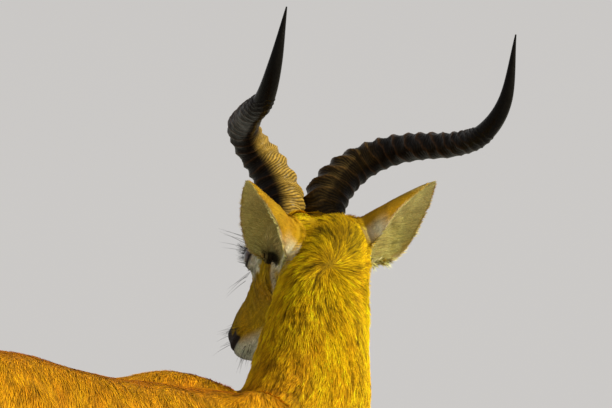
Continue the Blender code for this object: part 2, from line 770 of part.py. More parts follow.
def build():
    """Model the kob and part it into its nodes."""
    clear_scene()
    kob = new_collection("uganda_kob")
    cutters = new_collection("cutters")

    coat = material("coat", (0.62, 0.33, 0.09), 0.75)
    pale_coat = material("pale_coat", (0.80, 0.74, 0.62), 0.75)
    horn = material("horn", (0.045, 0.036, 0.028), 0.45)
    hoof = material("hoof", (0.05, 0.042, 0.036), 0.50)
    eye = material("eye", (0.020, 0.012, 0.008), 0.08)

    head_lofts = [head_mesh()] + head_mass_meshes()
    body_lofts = [trunk_mesh(), tail_mesh()] + mass_meshes()
    for leg in STANCE:
        body_lofts.append(leg_mesh(leg))
        if leg.startswith("hind"):
            body_lofts.append(hock_mesh(leg))
    body = melted("body_form", body_lofts + [neck_mesh()] + head_lofts,
                  BODY_VOXEL, BODY_TRIANGLES, 0.45, cutters)
    skull = melted("head_form", head_lofts + [neck_mesh()],
                   HEAD_VOXEL, HEAD_TRIANGLES, 0.0, cutters)

    neck_point, neck_normal = Vector(NECK_CUT[0]), Vector(NECK_CUT[1])
    down, behind = Vector((0, 0, -1)), Vector((-1, 0, 0))
    leg_point = Vector((0, 0, LEG_CUT))
    tail_point = Vector((TAIL_CUT, 0, 0))

    head = place("head", skull.data.copy(), coat, kob)
    trim(head, head_wedge("head_wedge", -GAP / 2, cutters), "INTERSECT")
    neck = place("neck", cut(body.data, neck_point, neck_normal), coat, kob)
    trim(neck, head_wedge("neck_wedge", GAP / 2, cutters))
    trunk_part = cut(body.data, neck_point, -neck_normal)
    trunk_part = cut(trunk_part, leg_point, -down)
    trunk_part = cut(trunk_part, tail_point, -behind)
    place("trunk", largest_island(trunk_part), coat, kob)
    tail_part = nearest_island(cut(body.data, tail_point, behind), TAIL_STATIONS[4][:3])
    place("tail", tail_part, coat, kob)

    below = cut(cut(body.data, leg_point, down), (0, 0, CORONET_CUT), -down)
    below = cut(below, tail_point, -behind)
    for leg in STANCE:
        stations = FORELEG_STATIONS if leg.startswith("fore") else HINDLEG_STATIONS
        side = 1 if leg.endswith("left") else -1
        seed = (stations[-5][0] + stance_shift(leg, 0.2), stations[-5][1] * side, 0.25)
        place(leg, nearest_island(below, seed), coat, kob)
        for name, half in (("outer", 1), ("inner", -1)):
            place(f"claw_{leg}_{name}", claw_mesh(leg, half), hoof, kob)

    for name, side in (("eye_left", 1), ("eye_right", -1)):
        ball = place(name, eye_mesh(side), eye, kob)
        trim(head, swollen(ball, name + "_socket", GAP * 1.5, cutters))
    hull = swollen(head, "head_cutter", GAP * 1.5, cutters)
    nape = swollen(neck, "neck_cutter", GAP * 1.5, cutters)
    for name, side in (("horn_left", 1), ("horn_right", -1)):
        trim(place(name, horn_mesh(side), horn, kob), hull)
    for name in EARS:
        ear = place(name, ear_mesh(name), pale_coat, kob, smooth=False)
        thicken = ear.modifiers.new("thickness", "SOLIDIFY")
        thicken.thickness = EAR_THICKNESS
        thicken.offset = -1.0
        ear.data = baked(ear)
        ear.modifiers.clear()
        trim(ear, hull)
        trim(ear, nape)

    stand_at_origin(list(kob.objects))


build()
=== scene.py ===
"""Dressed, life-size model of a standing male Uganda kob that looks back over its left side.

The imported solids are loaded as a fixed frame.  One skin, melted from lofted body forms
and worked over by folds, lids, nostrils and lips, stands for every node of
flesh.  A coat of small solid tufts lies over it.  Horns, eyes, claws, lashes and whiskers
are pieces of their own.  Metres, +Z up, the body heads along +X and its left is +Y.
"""

from __future__ import annotations

import logging
import math
from dataclasses import dataclass, field
from enum import Enum

import bmesh
import bpy
import numpy as np
from mathutils import Matrix, Vector

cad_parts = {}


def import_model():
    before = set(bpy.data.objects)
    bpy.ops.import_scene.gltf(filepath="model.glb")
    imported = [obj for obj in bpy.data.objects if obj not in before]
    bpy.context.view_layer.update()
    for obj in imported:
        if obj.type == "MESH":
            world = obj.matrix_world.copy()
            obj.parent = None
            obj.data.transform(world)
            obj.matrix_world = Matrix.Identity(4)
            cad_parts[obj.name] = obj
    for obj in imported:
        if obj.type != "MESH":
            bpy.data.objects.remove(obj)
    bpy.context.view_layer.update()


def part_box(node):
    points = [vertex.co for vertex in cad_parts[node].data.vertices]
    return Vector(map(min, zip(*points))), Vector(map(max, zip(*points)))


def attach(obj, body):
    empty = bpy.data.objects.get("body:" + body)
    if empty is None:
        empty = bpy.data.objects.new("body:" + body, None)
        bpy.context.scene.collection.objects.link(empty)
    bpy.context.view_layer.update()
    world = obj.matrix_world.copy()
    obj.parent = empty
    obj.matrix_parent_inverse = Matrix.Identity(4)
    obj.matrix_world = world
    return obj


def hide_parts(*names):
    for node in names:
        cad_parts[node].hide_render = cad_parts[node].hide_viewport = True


LOG = logging.getLogger("kob")
Array = np.ndarray
Triple = tuple[float, float, float]
Rgb = tuple[int, int, int]
Pair = tuple[float, float]
Edges = tuple[tuple[str, float, float], ...]
CM = 0.01
BODY = "root"
AHEAD, LEFT, UP = (1.0, 0.0, 0.0), (0.0, 1.0, 0.0), (0.0, 0.0, 1.0)


# ---- Arithmetic ----
def unit(vectors: Array) -> Array:
    """Vectors of length one along the last axis."""
    length = np.linalg.norm(vectors, axis=-1, keepdims=True)
    return vectors / np.maximum(length, 1e-12)


def apart(points: Array, place: Triple | Array) -> Array:
    """Distance of each point from one place."""
    return np.linalg.norm(points - np.asarray(place), axis=1)


def repeated(vector: Triple, count: int) -> Array:
    """The same vector on every row."""
    return np.tile(np.asarray(vector, float), (count, 1))


def table(*rows: tuple[float, ...]) -> Array:
    """A dataclass field that holds these rows of numbers."""
    return field(default_factory=lambda: np.array(rows))


def turns(count: int) -> Array:
    """Angles evenly round a circle."""
    return np.linspace(0, 2 * math.pi, count, endpoint=False)


def turned(sine: Array, cosine: Array) -> Array:
    """Angles as shares of a whole turn, from 0 to 1."""
    return np.arctan2(sine, cosine) / (2 * math.pi) + 0.5


def step(low: float | Array, high: float | Array, value: Array) -> Array:
    """Smooth 0 to 1 as value goes from low to high (or from high down to low)."""
    share = np.clip((value - low) / (high - low), 0.0, 1.0)
    return share * share * (3.0 - 2.0 * share)


def within(edges: Edges, **values: Array) -> Array:
    """The share of each point in a region with a soft edge along each named value."""
    share = 1.0
    for name, low, high in edges:
        share = share * step(low, high, values[name])
    return share


def mix(first: Array, second: Array, share: Array) -> Array:
    """Blend two arrays of vectors by a share for each row."""
    share = np.asarray(share)[..., None]
    return first * (1.0 - share) + second * share


def fade(first: Array, second: Array | float, share: Array) -> Array:
    """Blend two arrays of numbers by a share for each row."""
    return first * (1 - share) + second * share


def dots(first: Array, second: Array) -> Array:
    """Dot product of each row with its partner."""
    return np.einsum("ij,ij->i", first, second)


def laid(vectors: Array, normals: Array) -> Array:
    """Unit vectors pressed flat on a surface with these normals."""
    return unit(vectors - normals * dots(vectors, normals)[:, None])


def folded(head: Array) -> Array:
    """Points with those of the right half laid over the left half."""
    return np.column_stack([head[:, 0], np.abs(head[:, 1]), head[:, 2]])


def bump(value: Array, width: float) -> Array:
    """A bell of height 1 and about this half width round zero."""
    return np.exp(-((value / width) ** 2))


def curve(points: Array, shares: Array) -> Array:
    """Catmull-Rom values through rows of numbers.

    Args:
        points: One row for each station.
        shares: Places along the stations, from 0 to 1.

    Returns:
        One row for each share.
    """
    rows = np.asarray(points, float)
    rows = np.vstack([2 * rows[0] - rows[1], rows, 2 * rows[-1] - rows[-2]])
    spans = len(rows) - 3
    place = np.clip(np.atleast_1d(shares), 0.0, 1.0) * spans
    i = np.minimum(place.astype(int), spans - 1)
    t = (place - i)[:, None]
    a, b, c, d = (rows[i + k] for k in range(4))
    return 0.5 * (2 * b + (c - a) * t + (2 * a - 5 * b + 4 * c - d) * t**2
                  + (3 * b - a - 3 * c + d) * t**3)


def ripple(points: Array, size: float, seed: int) -> Array:
    """Smooth noise between about -1 and 1 whose waves are about size metres long."""
    rng = np.random.default_rng(seed)
    total = np.zeros(len(points))
    waves = 7
    for _ in range(waves):
        direction = rng.normal(size=3)
        direction *= 2 * math.pi / size * rng.uniform(0.6, 1.4) / np.linalg.norm(direction)
        total += np.sin(points @ direction + rng.uniform(0, 2 * math.pi))
    return total / math.sqrt(waves / 2) / 1.6


def speckle(points: Array, size: float, seed: int) -> Array:
    """Smooth random spots of about this size, with no repeat, between -1 and 1."""
    place = points / size
    cell = np.floor(place).astype(np.int64)
    share = place - cell
    share = share * share * (3.0 - 2.0 * share)
    total = np.zeros(len(points))
    for corner in np.ndindex(2, 2, 2):
        key = ((cell + corner) * (73856093, 19349663, 83492791)).sum(1) + seed * 7919
        key = (key ^ (key >> 13)) * 1274126177
        value = ((key ^ (key >> 16)) & 65535) / 32767.5 - 1.0
        weight = np.where(corner, share, 1.0 - share).prod(1)
        total += value * weight
    return total


def srgb(red: int, green: int, blue: int) -> Array:
    """Linear colour from display values of 0 to 255."""
    value = np.array([red, green, blue]) / 255.0
    return np.where(value <= 0.04045, value / 12.92, ((value + 0.055) / 1.055) ** 2.4)


# ---- Meshes held as arrays ----
@dataclass
class Shape:
    """A triangle mesh held as arrays."""

    points: Array
    tris: Array

    @staticmethod
    def joined(shapes: list[Shape]) -> Shape:
        """One shape that holds them all."""
        start, points, tris = 0, [], []
        for shape in shapes:
            points.append(shape.points)
            tris.append(shape.tris + start)
            start += len(shape.points)
        return Shape(np.vstack(points), np.vstack(tris))

    def facing_out(self) -> Shape:
        """The same closed shape with its faces turned outwards."""
        a, b, c = (self.points[self.tris[:, k]] for k in range(3))
        if np.einsum("ij,ij->i", a, np.cross(b, c)).sum() < 0:
            self.tris = self.tris[:, ::-1]
        return self

    def carried(self, place: Array) -> Shape:
        """The shape after a 4 by 4 matrix."""
        self.points = self.points @ place[:3, :3].T + place[:3, 3]
        return self

    def face_normals(self) -> Array:
        """Normals of the triangles, as long as twice their areas."""
        a, b, c = (self.points[self.tris[:, k]] for k in range(3))
        return np.cross(b - a, c - a)

    def normals(self) -> Array:
        """Unit normals of the points."""
        faces = self.face_normals()
        total = np.zeros_like(self.points)
        for axis in range(3):
            for corner in range(3):
                total[:, axis] += np.bincount(
                    self.tris[:, corner], faces[:, axis], len(self.points))
        return unit(total)

    def smoothed(self, rounds: int, weight: Array | float = 1.0) -> Shape:
        """The shape with each point drawn to its neighbours' middle.

        Args:
            rounds: How many times.
            weight: How far each point goes, 0 to 1.

        Returns:
            This shape, changed.
        """
        edges = np.vstack([self.tris[:, [0, 1]], self.tris[:, [1, 2]], self.tris[:, [2, 0]]])
        edges = np.unique(np.sort(edges, axis=1), axis=0)
        count = len(self.points)
        near = np.bincount(edges.ravel(), minlength=count)
        share = 0.5 * np.broadcast_to(np.asarray(weight, float), (count,))[:, None]
        for _ in range(rounds):
            total = np.empty_like(self.points)
            for axis in range(3):
                column = self.points[:, axis]
                total[:, axis] = (np.bincount(edges[:, 0], column[edges[:, 1]], count)
                                  + np.bincount(edges[:, 1], column[edges[:, 0]], count))
            self.points = self.points + share * (total / near[:, None] - self.points)
        return self

    def mesh(self, name: str) -> bpy.types.Mesh:
        """A Blender mesh of this shape."""
        made = bpy.data.meshes.new(name)
        count = len(self.tris)
        made.vertices.add(len(self.points))
        made.vertices.foreach_set("co", self.points.astype(np.float32).ravel())
        made.loops.add(count * 3)
        made.loops.foreach_set("vertex_index", self.tris.astype(np.int32).ravel())
        made.polygons.add(count)
        made.polygons.foreach_set("loop_start", np.arange(0, count * 3, 3, dtype=np.int32))
        made.update(calc_edges=True)
        return made

    @staticmethod
    def of_mesh(mesh: bpy.types.Mesh) -> Shape:
        """The triangles of a Blender mesh."""
        points = np.empty(len(mesh.vertices) * 3, np.float32)
        mesh.vertices.foreach_get("co", points)
        mesh.calc_loop_triangles()
        tris = np.empty(len(mesh.loop_triangles) * 3, np.int32)
        mesh.loop_triangles.foreach_get("vertices", tris)
        return Shape(points.reshape(-1, 3).astype(float), tris.reshape(-1, 3))

    @staticmethod
    def of_bmesh(bm: bmesh.types.BMesh) -> Shape:
        """The triangles of an edited mesh, which is freed."""
        mesh = bpy.data.meshes.new("edited")
        bm.to_mesh(mesh)
        bm.free()
        shape = Shape.of_mesh(mesh)
        bpy.data.meshes.remove(mesh)
        return shape


def bands(near: Array, far: Array) -> Array:
    """Triangles from each closed row of point numbers to its partner."""
    near_next, far_next = np.roll(near, -1, 1), np.roll(far, -1, 1)
    return np.concatenate([np.stack([near, near_next, far_next], -1).reshape(-1, 3),
                           np.stack([near, far_next, far], -1).reshape(-1, 3)])


def hoop(rings: Array) -> Shape:
    """A closed ring of rings, such as a torus."""
    count, sides, _ = rings.shape
    grid = np.arange(count * sides).reshape(count, sides)
    return Shape(rings.reshape(-1, 3), bands(grid, np.roll(grid, -1, 0))).facing_out()


def tube(rings: Array) -> Shape:
    """A closed tube through rings of points, with a fan over each end.

    Args:
        rings: Array of rings by points by three.

    Returns:
        The closed tube, facing out.
    """
    count, sides, _ = rings.shape
    grid = np.arange(count * sides).reshape(count, sides)
    first, last = count * sides, count * sides + 1
    fans = []
    for row, centre, turn in ((grid[0], first, -1), (grid[-1], last, 1)):
        pairs = np.stack([row, np.roll(row, -1), np.full(sides, centre)], -1)
        fans.append(pairs[:, ::turn])
    points = np.vstack([rings.reshape(-1, 3), rings[0].mean(0), rings[-1].mean(0)])
    return Shape(points, np.vstack([bands(grid[:-1], grid[1:]), *fans])).facing_out()


def swept(path: Array, first: Array, second: Array, reach: Array, spread: Array) -> Array:
    """Rings about a path.

    Args:
        path: One centre for each ring.
        first: One unit vector for each ring.
        second: Another across it.
        reach: How far each point of each ring lies along the first vector.
        spread: How far it lies along the second.

    Returns:
        Array of rings by points by three.
    """
    return (path[:, None, :] + first[:, None, :] * reach[..., None]
            + second[:, None, :] * spread[..., None])


def ovals(centre: Array, up: Array, side: Array, above: Array, below: Array,
          half: Array, sides: int, fullness: float = 2.0) -> Array:
    """Rings of rounded sections.

    Args:
        centre: One centre for each ring.
        up: Unit vector of each ring's upper half.
        side: Unit vector across each ring.
        above: Radius along up.
        below: Radius against up.
        half: Radius along side.
        sides: Points in a ring.
        fullness: 2 for an ellipse, more for a squarer section.

    Returns:
        Array of rings by points by three.
    """
    turn = turns(sides)
    c, s = np.cos(turn), np.sin(turn)
    across = np.sign(c) * np.abs(c) ** (2 / fullness)
    along = np.sign(s) * np.abs(s) ** (2 / fullness)
    radius = np.where(along > 0, np.asarray(above)[:, None], np.asarray(below)[:, None])
    return swept(centre, side, up, across * np.asarray(half)[:, None], along * radius)


def carried_frames(path: Array, start: Triple) -> tuple[Array, Array, Array]:
    """Unit vectors carried along a path without twist.

    Args:
        path: Points along the path.
        start: A rough direction for the first reference vector.

    Returns:
        Tangents, reference vectors and the vectors across both.
    """
    along = unit(np.gradient(path, axis=0))
    reference = np.empty_like(path)
    current = np.asarray(start, float)
    for i, tangent in enumerate(along):
        current = current - tangent * (current @ tangent)
        current = current / np.linalg.norm(current)
        reference[i] = current
    return along, reference, np.cross(along, reference)


def ball(centre: Triple | Array, radii: Triple, rows: int = 16, sides: int = 24) -> Shape:
    """An ellipsoid with its axes along X, Y and Z."""
    tilt = np.linspace(-math.pi / 2, math.pi / 2, rows + 1)[1:-1]
    turn = turns(sides)
    rings = np.stack([
        np.cos(tilt)[:, None] * np.cos(turn),
        np.cos(tilt)[:, None] * np.sin(turn),
        np.sin(tilt)[:, None] * np.ones(sides),
    ], -1)
    shape = tube(rings)
    shape.points[-2:] = [[0, 0, -1], [0, 0, 1]]
    shape.points = shape.points * np.asarray(radii) + np.asarray(centre)
    return shape


def new_object(name: str, shape: Shape, smooth: bool = True) -> bpy.types.Object:
    """A linked object of this shape."""
    mesh = shape.mesh(name)
    if smooth:
        mesh.shade_smooth()
    else:
        mesh.shade_flat()
    made = bpy.data.objects.new(name, mesh)
    bpy.context.scene.collection.objects.link(made)
    return made


def melted(shapes: list[Shape], voxel: float) -> Shape:
    """Overlapping closed shapes melted into one surface of even squares.

    Args:
        shapes: The closed shapes.
        voxel: Size of the squares in metres.

    Returns:
        The one surface.
    """
    lump = new_object("lump", Shape.joined(shapes))
    remesh = lump.modifiers.new("melt", "REMESH")
    remesh.mode = "VOXEL"
    remesh.voxel_size = voxel
    graph = bpy.context.evaluated_depsgraph_get()
    graph.update()
    mesh = bpy.data.meshes.new_from_object(lump.evaluated_get(graph))
    shape = Shape.of_mesh(mesh)
    bpy.data.objects.remove(lump)
    bpy.data.meshes.remove(mesh)
    return shape


def grafted(lower: Shape, upper: Shape, point: Array, normal: Array, gap: float) -> Shape:
    """Two meshes of one form, cut at a plane and bridged into one closed mesh.

    Args:
        lower: Kept on the near side of the plane.
        upper: Kept on the far side.
        point: A point of the plane.
        normal: The plane's normal, towards the upper part.
        gap: Width of the strip that the bridge fills.

    Returns:
        The one mesh.
    """
    bm = bmesh.new()
    for shape, away in ((lower, -1.0), (upper, 1.0)):
        half = bmesh.new()
        mesh = shape.mesh("half")
        half.from_mesh(mesh)
        direction = Vector(normal) * away
        bmesh.ops.bisect_plane(
            half, geom=half.verts[:] + half.edges[:] + half.faces[:], dist=1e-5,
            plane_co=Vector(point) + direction * gap / 2, plane_no=direction,
            clear_inner=True)
        half.to_mesh(mesh)
        half.free()
        bm.from_mesh(mesh)
        bpy.data.meshes.remove(mesh)
    rims = [edge for edge in bm.edges if edge.is_boundary]
    bmesh.ops.bridge_loops(bm, edges=rims)
    bmesh.ops.triangulate(bm, faces=bm.faces)
    bmesh.ops.recalc_face_normals(bm, faces=bm.faces)
    return Shape.of_bmesh(bm).facing_out()


# ---- The animal's form ----
class Side(Enum):
    """The two sides of the animal."""

    LEFT = 1
    RIGHT = -1

    @property
    def word(self) -> str:
        """The side's name in lower case."""
        return self.name.lower()


def side_of(leg: str) -> int:
    """1 for a left leg and -1 for a right one."""
    return 1 if leg.endswith("left") else -1


@dataclass(frozen=True)
class HeadPose:
    """Where the head's own frame lies: x from poll to nose, y left, z out of the forehead."""

    origin: Triple = (0.613, 0.083, 1.176)
    yaw: float = 63.0
    pitch: float = 36.5
    roll: float = 10.0

    def matrix(self) -> Array:
        """Carries head centimetres to metres in the body's frame."""
        turn = (Matrix.Rotation(math.radians(self.yaw), 4, "Z")
                @ Matrix.Rotation(math.radians(self.pitch), 4, "Y")
                @ Matrix.Rotation(math.radians(self.roll), 4, "X"))
        return np.array(Matrix.Translation(self.origin) @ turn @ Matrix.Scale(CM, 4))


@dataclass(frozen=True)
class Ear:
    """The open leaf of one ear, in head centimetres."""

    side: Side
    base: Triple
    tip: Triple
    opening: Triple
    radii: tuple[float, ...] = (2.9, 3.4, 3.75, 3.75, 3.5, 3.0, 2.36, 1.45, 0.30)
    half_angles: tuple[float, ...] = (150, 138, 128, 116, 106, 99, 94, 92, 80)
    bulge: float = 2.4
    bulge_fade: float = 0.65
    thickness: float = 0.48

    def axes(self) -> tuple[Array, Array, Array, float]:
        """Unit vectors along the ear, into its opening and across it, and its length."""
        span = np.subtract(self.tip, self.base)
        length = float(np.linalg.norm(span))
        along = span / length
        opening = np.asarray(self.opening) - along * np.dot(self.opening, along)
        opening = opening / np.linalg.norm(opening)
        return along, opening, np.cross(along, opening), length

    def profile(self, share: Array) -> tuple[Array, Array, Array]:
        """Radius, half angle and backward bulge of the leaf at shares of its length."""
        rows = curve(np.column_stack([self.radii, self.half_angles]), share)
        bulge = self.bulge * (1 - np.clip(share, 0, 1)) ** self.bulge_fade
        return rows[:, 0], np.radians(rows[:, 1]), bulge

    def shape(self, rows: int = 40, columns: int = 26) -> Shape:
        """The leaf as a closed shell in head centimetres."""
        along, opening, across, length = self.axes()
        share = np.linspace(0, 1, rows)
        radius, half, bulge = self.profile(share)
        turn = half[:, None] * np.linspace(-1, 1, columns)
        rim = 0.35 + 0.65 * np.cos(np.linspace(-1, 1, columns) * math.pi / 2) ** 0.5
        middle = np.asarray(self.base) + share[:, None] * length * along - bulge[:, None] * opening
        sheets = []
        for side in (1, -1):
            reach = radius[:, None] + side * self.thickness / 2 * rim
            offset = radius[:, None] - reach * np.cos(turn)
            sheets.append(middle[:, None, :] + opening * offset[..., None]
                          + across * (reach * np.sin(turn))[..., None])
        loop = np.concatenate([sheets[0], sheets[1][:, ::-1]], axis=1)
        return tube(loop)

    def places(self, head: Array) -> tuple[Array, Array, Array]:
        """Where points lie on the ear.

        Args:
            head: Points in head centimetres.

        Returns:
            Share of the length, turn from the back's middle line (-1 to 1 at the rims)
            and depth, which is positive on the back and negative inside the cup.
        """
        along, opening, across, length = self.axes()
        offset = head - np.asarray(self.base)
        share = offset @ along / length
        radius, half, bulge = self.profile(np.clip(share, 0, 1))
        a, o = offset @ across, radius - bulge - offset @ opening
        return share, np.arctan2(a, o) / half, np.hypot(a, o) - radius


@dataclass(frozen=True)
class Mass:
    """A muscle or bone ellipsoid, on both sides if it is paired."""

    centre: Triple
    radii: Triple
    tilt: float = 0.0
    paired: bool = False

    def shapes(self) -> list[Shape]:
        """The ellipsoid tilted about Y, and its mirror image if it has one."""
        turn = Matrix.Rotation(math.radians(self.tilt), 4, "Y")
        x, y, z = self.centre
        made = []
        for side in (1, -1) if self.paired else (1,):
            place = np.array(Matrix.Translation((x, y * side, z)) @ turn)
            made.append(ball((0, 0, 0), self.radii).carried(place))
        return made


@dataclass
class Anatomy:
    """The kob's flesh as stations of lofted forms, and the fields that follow it."""

    pose: HeadPose = field(default_factory=HeadPose)
    trunk: Array = table(
        # X, top, bottom, half width, level of the widest place
        (-0.548, 0.850, 0.740, 0.030, 0.800),
        (-0.520, 0.892, 0.680, 0.072, 0.790),
        (-0.450, 0.945, 0.620, 0.112, 0.780),
        (-0.330, 0.978, 0.585, 0.130, 0.765),
        (-0.200, 0.965, 0.560, 0.134, 0.740),
        (-0.060, 0.940, 0.535, 0.146, 0.715),
        (0.080, 0.924, 0.510, 0.152, 0.700),
        (0.200, 0.914, 0.496, 0.144, 0.690),
        (0.310, 0.903, 0.494, 0.128, 0.685),
        (0.400, 0.890, 0.520, 0.106, 0.690),
        (0.460, 0.830, 0.565, 0.078, 0.695),
        (0.500, 0.760, 0.620, 0.035, 0.690),
    )
    neck: Array = table(
        # X, Y, Z, yaw, slope from upright, dorsal, ventral and side radii
        (0.330, 0.000, 0.730, 0, 50, 0.140, 0.150, 0.096),
        (0.408, 0.002, 0.805, 8, 40, 0.118, 0.135, 0.093),
        (0.471, 0.004, 0.890, 20, 28, 0.098, 0.116, 0.090),
        (0.518, 0.019, 0.987, 33, 26, 0.083, 0.094, 0.0755),
        (0.551, 0.031, 1.052, 41, 26, 0.073, 0.080, 0.066),
        (0.580, 0.043, 1.103, 52, 24, 0.062, 0.070, 0.060),
        (0.597, 0.056, 1.134, 60, 24, 0.044, 0.052, 0.045),
    )
    head: Array = table(
        # x, top, bottom, half width, level of the widest place, in centimetres
        (-3.2, -7.4, -11.6, 3.4, -9.4),
        (-1.8, -5.2, -13.2, 4.8, -8.8),
        (0.5, -2.9, -14.2, 5.6, -8.0),
        (3.5, -1.0, -14.6, 5.9, -7.2),
        (6.5, -0.1, -14.2, 5.8, -6.2),
        (9.5, 0.1, -13.0, 5.7, -5.2),
        (12.5, -0.2, -11.6, 5.4, -4.6),
        (15.5, -0.9, -10.3, 4.4, -4.6),
        (19.0, -1.4, -9.2, 3.5, -4.9),
        (22.5, -1.3, -8.9, 3.3, -5.2),
        (25.5, -1.5, -9.1, 3.4, -5.4),
        (27.8, -2.3, -9.0, 3.1, -5.6),
        (29.2, -3.6, -8.2, 2.3, -5.8),
        (29.8, -5.2, -6.9, 1.0, -6.0),
    )
    foreleg: Array = table(
        # X, Y, Z, fore-and-aft radius, side radius
        (0.340, 0.086, 0.680, 0.075, 0.045),
        (0.318, 0.094, 0.600, 0.072, 0.046),
        (0.300, 0.096, 0.530, 0.060, 0.041),
        (0.312, 0.094, 0.460, 0.043, 0.034),
        (0.330, 0.091, 0.385, 0.030, 0.026),
        (0.340, 0.090, 0.330, 0.0255, 0.0235),
        (0.343, 0.090, 0.300, 0.0275, 0.0255),
        (0.342, 0.090, 0.270, 0.0245, 0.0225),
        (0.342, 0.090, 0.235, 0.0185, 0.0170),
        (0.344, 0.090, 0.175, 0.0165, 0.0150),
        (0.344, 0.090, 0.125, 0.0175, 0.0165),
        (0.344, 0.090, 0.100, 0.0220, 0.0210),
        (0.354, 0.090, 0.074, 0.0185, 0.0190),
        (0.366, 0.090, 0.050, 0.0210, 0.0220),
        (0.372, 0.090, 0.030, 0.0220, 0.0220),
    )
    hindleg: Array = table(
        (-0.385, 0.060, 0.790, 0.110, 0.050),
        (-0.385, 0.082, 0.700, 0.128, 0.056),
        (-0.350, 0.092, 0.610, 0.112, 0.050),
        (-0.325, 0.094, 0.545, 0.078, 0.042),
        (-0.350, 0.094, 0.485, 0.054, 0.035),
        (-0.400, 0.093, 0.430, 0.036, 0.027),
        (-0.447, 0.092, 0.385, 0.031, 0.0235),
        (-0.466, 0.092, 0.350, 0.0330, 0.0240),
        (-0.468, 0.092, 0.310, 0.0270, 0.0210),
        (-0.462, 0.092, 0.250, 0.0200, 0.0165),
        (-0.456, 0.092, 0.185, 0.0180, 0.0155),
        (-0.452, 0.092, 0.135, 0.0185, 0.0170),
        (-0.450, 0.092, 0.106, 0.0225, 0.0210),
        (-0.438, 0.092, 0.078, 0.0190, 0.0190),
        (-0.425, 0.092, 0.052, 0.0210, 0.0215),
        (-0.419, 0.092, 0.030, 0.0220, 0.0215),
    )
    tendon: Array = table(
        (-0.400, 0.094, 0.520, 0.016),
        (-0.450, 0.093, 0.450, 0.0105),
        (-0.488, 0.092, 0.402, 0.0125),
        (-0.494, 0.092, 0.380, 0.0145),
        (-0.484, 0.092, 0.330, 0.0120),
    )
    web_thickness: float = 0.0085
    tail: Array = table(
        (-0.500, 0.0, 0.880, 0.022),
        (-0.540, 0.0, 0.872, 0.020),
        (-0.572, 0.0, 0.840, 0.0165),
        (-0.586, 0.003, 0.790, 0.0145),
        (-0.588, 0.006, 0.735, 0.0155),
        (-0.586, 0.010, 0.680, 0.0210),
        (-0.582, 0.013, 0.630, 0.0220),
        (-0.580, 0.015, 0.590, 0.0140),
        (-0.579, 0.016, 0.570, 0.0050),
    )
    stance: dict[str, float] = field(default_factory=lambda: {
        "foreleg_left": 0.045,
        "foreleg_right": -0.040,
        "hindleg_left": -0.055,
        "hindleg_right": 0.040,
    })
    swing_from: dict[str, float] = field(
        default_factory=lambda: {"foreleg": 0.60, "hindleg": 0.70})
    trunk_fullness: float = 2.15
    head_fullness: float = 2.1
    neck_root: Triple = (0.440, 0.0, 0.790)
    neck_way: Triple = (0.8, 0.0, 0.6)
    masses: tuple[Mass, ...] = (
        Mass((0.220, 0.068, 0.795), (0.150, 0.046, 0.128), -8),  # left shoulder
        Mass((0.203, 0.066, 0.856), (0.228, 0.050, 0.082), 0),  # raised top of that shoulder
        Mass((0.240, -0.072, 0.788), (0.130, 0.046, 0.122), -8),  # right shoulder
        Mass((0.375, 0.083, 0.655), (0.088, 0.052, 0.125), 22, paired=True),  # points of the shoulders
        Mass((0.290, 0.100, 0.600), (0.080, 0.042, 0.105), -35, paired=True),  # elbows
        Mass((-0.410, 0.072, 0.745), (0.125, 0.064, 0.175), 18, paired=True),  # thighs
        Mass((-0.300, 0.076, 0.850), (0.085, 0.050, 0.085), 0, paired=True),  # hips
        Mass((0.430, 0.0, 0.640), (0.085, 0.070, 0.110), 20),  # breast
    )
    head_masses: tuple[tuple[Triple, Triple], ...] = (
        # centre and radii in head centimetres, mirrored to the other side
        ((11.5, 4.5, -3.1), (2.8, 2.05, 2.3)),      # orbit
        ((6.2, 3.9, -9.6), (4.6, 2.1, 4.0)),        # cheek
        ((27.6, 1.9, -4.7), (1.9, 1.35, 1.35)),     # wing of the nostril
        ((26.0, 1.7, -6.6), (3.0, 1.5, 1.5)),       # upper lip
        ((2.4, 5.1, -6.4), (2.6, 2.2, 3.0)),        # root of the ear
        ((-1.3, 4.2, -7.2), (2.4, 2.2, 2.2)),       # muscle behind that root
        ((6.2, 2.6, -0.6), (3.6, 3.2, 2.2)),        # boss under the horn
    )
    ears: tuple[Ear, ...] = (
        Ear(Side.LEFT, (2.4, 4.1, -8.9), (-7.2, 14.5, -5.5), (-0.17, 0.825, -0.54)),
        Ear(Side.RIGHT, (0.6, -4.8, -7.9), (-9.0, -14.4, -1.9), (-0.376, -0.43, -0.82)),
    )
    eye_centre: Triple = (11.8, 4.95, -3.35)
    eye_radius: float = 1.85
    whorl: Triple = (0.503, -0.016, 1.082)
    nape: Pair = (-3.4, -4.0)
    throat: Pair = (4.4, -15.5)

    def __post_init__(self) -> None:
        """Work out the matrices and the neck's sampled axis."""
        self.to_world = self.pose.matrix()
        self.to_head = np.linalg.inv(self.to_world)
        self.neck_samples = curve(self.neck, np.linspace(0, 1, 60))
        self.neck_along = unit(np.gradient(self.neck_samples[:, :3], axis=0))

    # ---- forms ----
    @staticmethod
    def lofted(stations: Array, rows: int, sides: int, fullness: float) -> Shape:
        """A straight form through stations like those of trunk and head."""
        x, top, bottom, half, level = curve(stations, np.linspace(0, 1, rows)).T
        centre = np.column_stack([x, np.zeros(rows), level])
        return tube(ovals(centre, repeated(UP, rows), repeated(LEFT, rows), top - level,
                          level - bottom, half, sides, fullness))

    def neck_rows(self, share: Array) -> Array:
        """Stations of the neck nearest to shares of its length."""
        return self.neck_samples[(share * (len(self.neck_samples) - 1)).astype(int)]

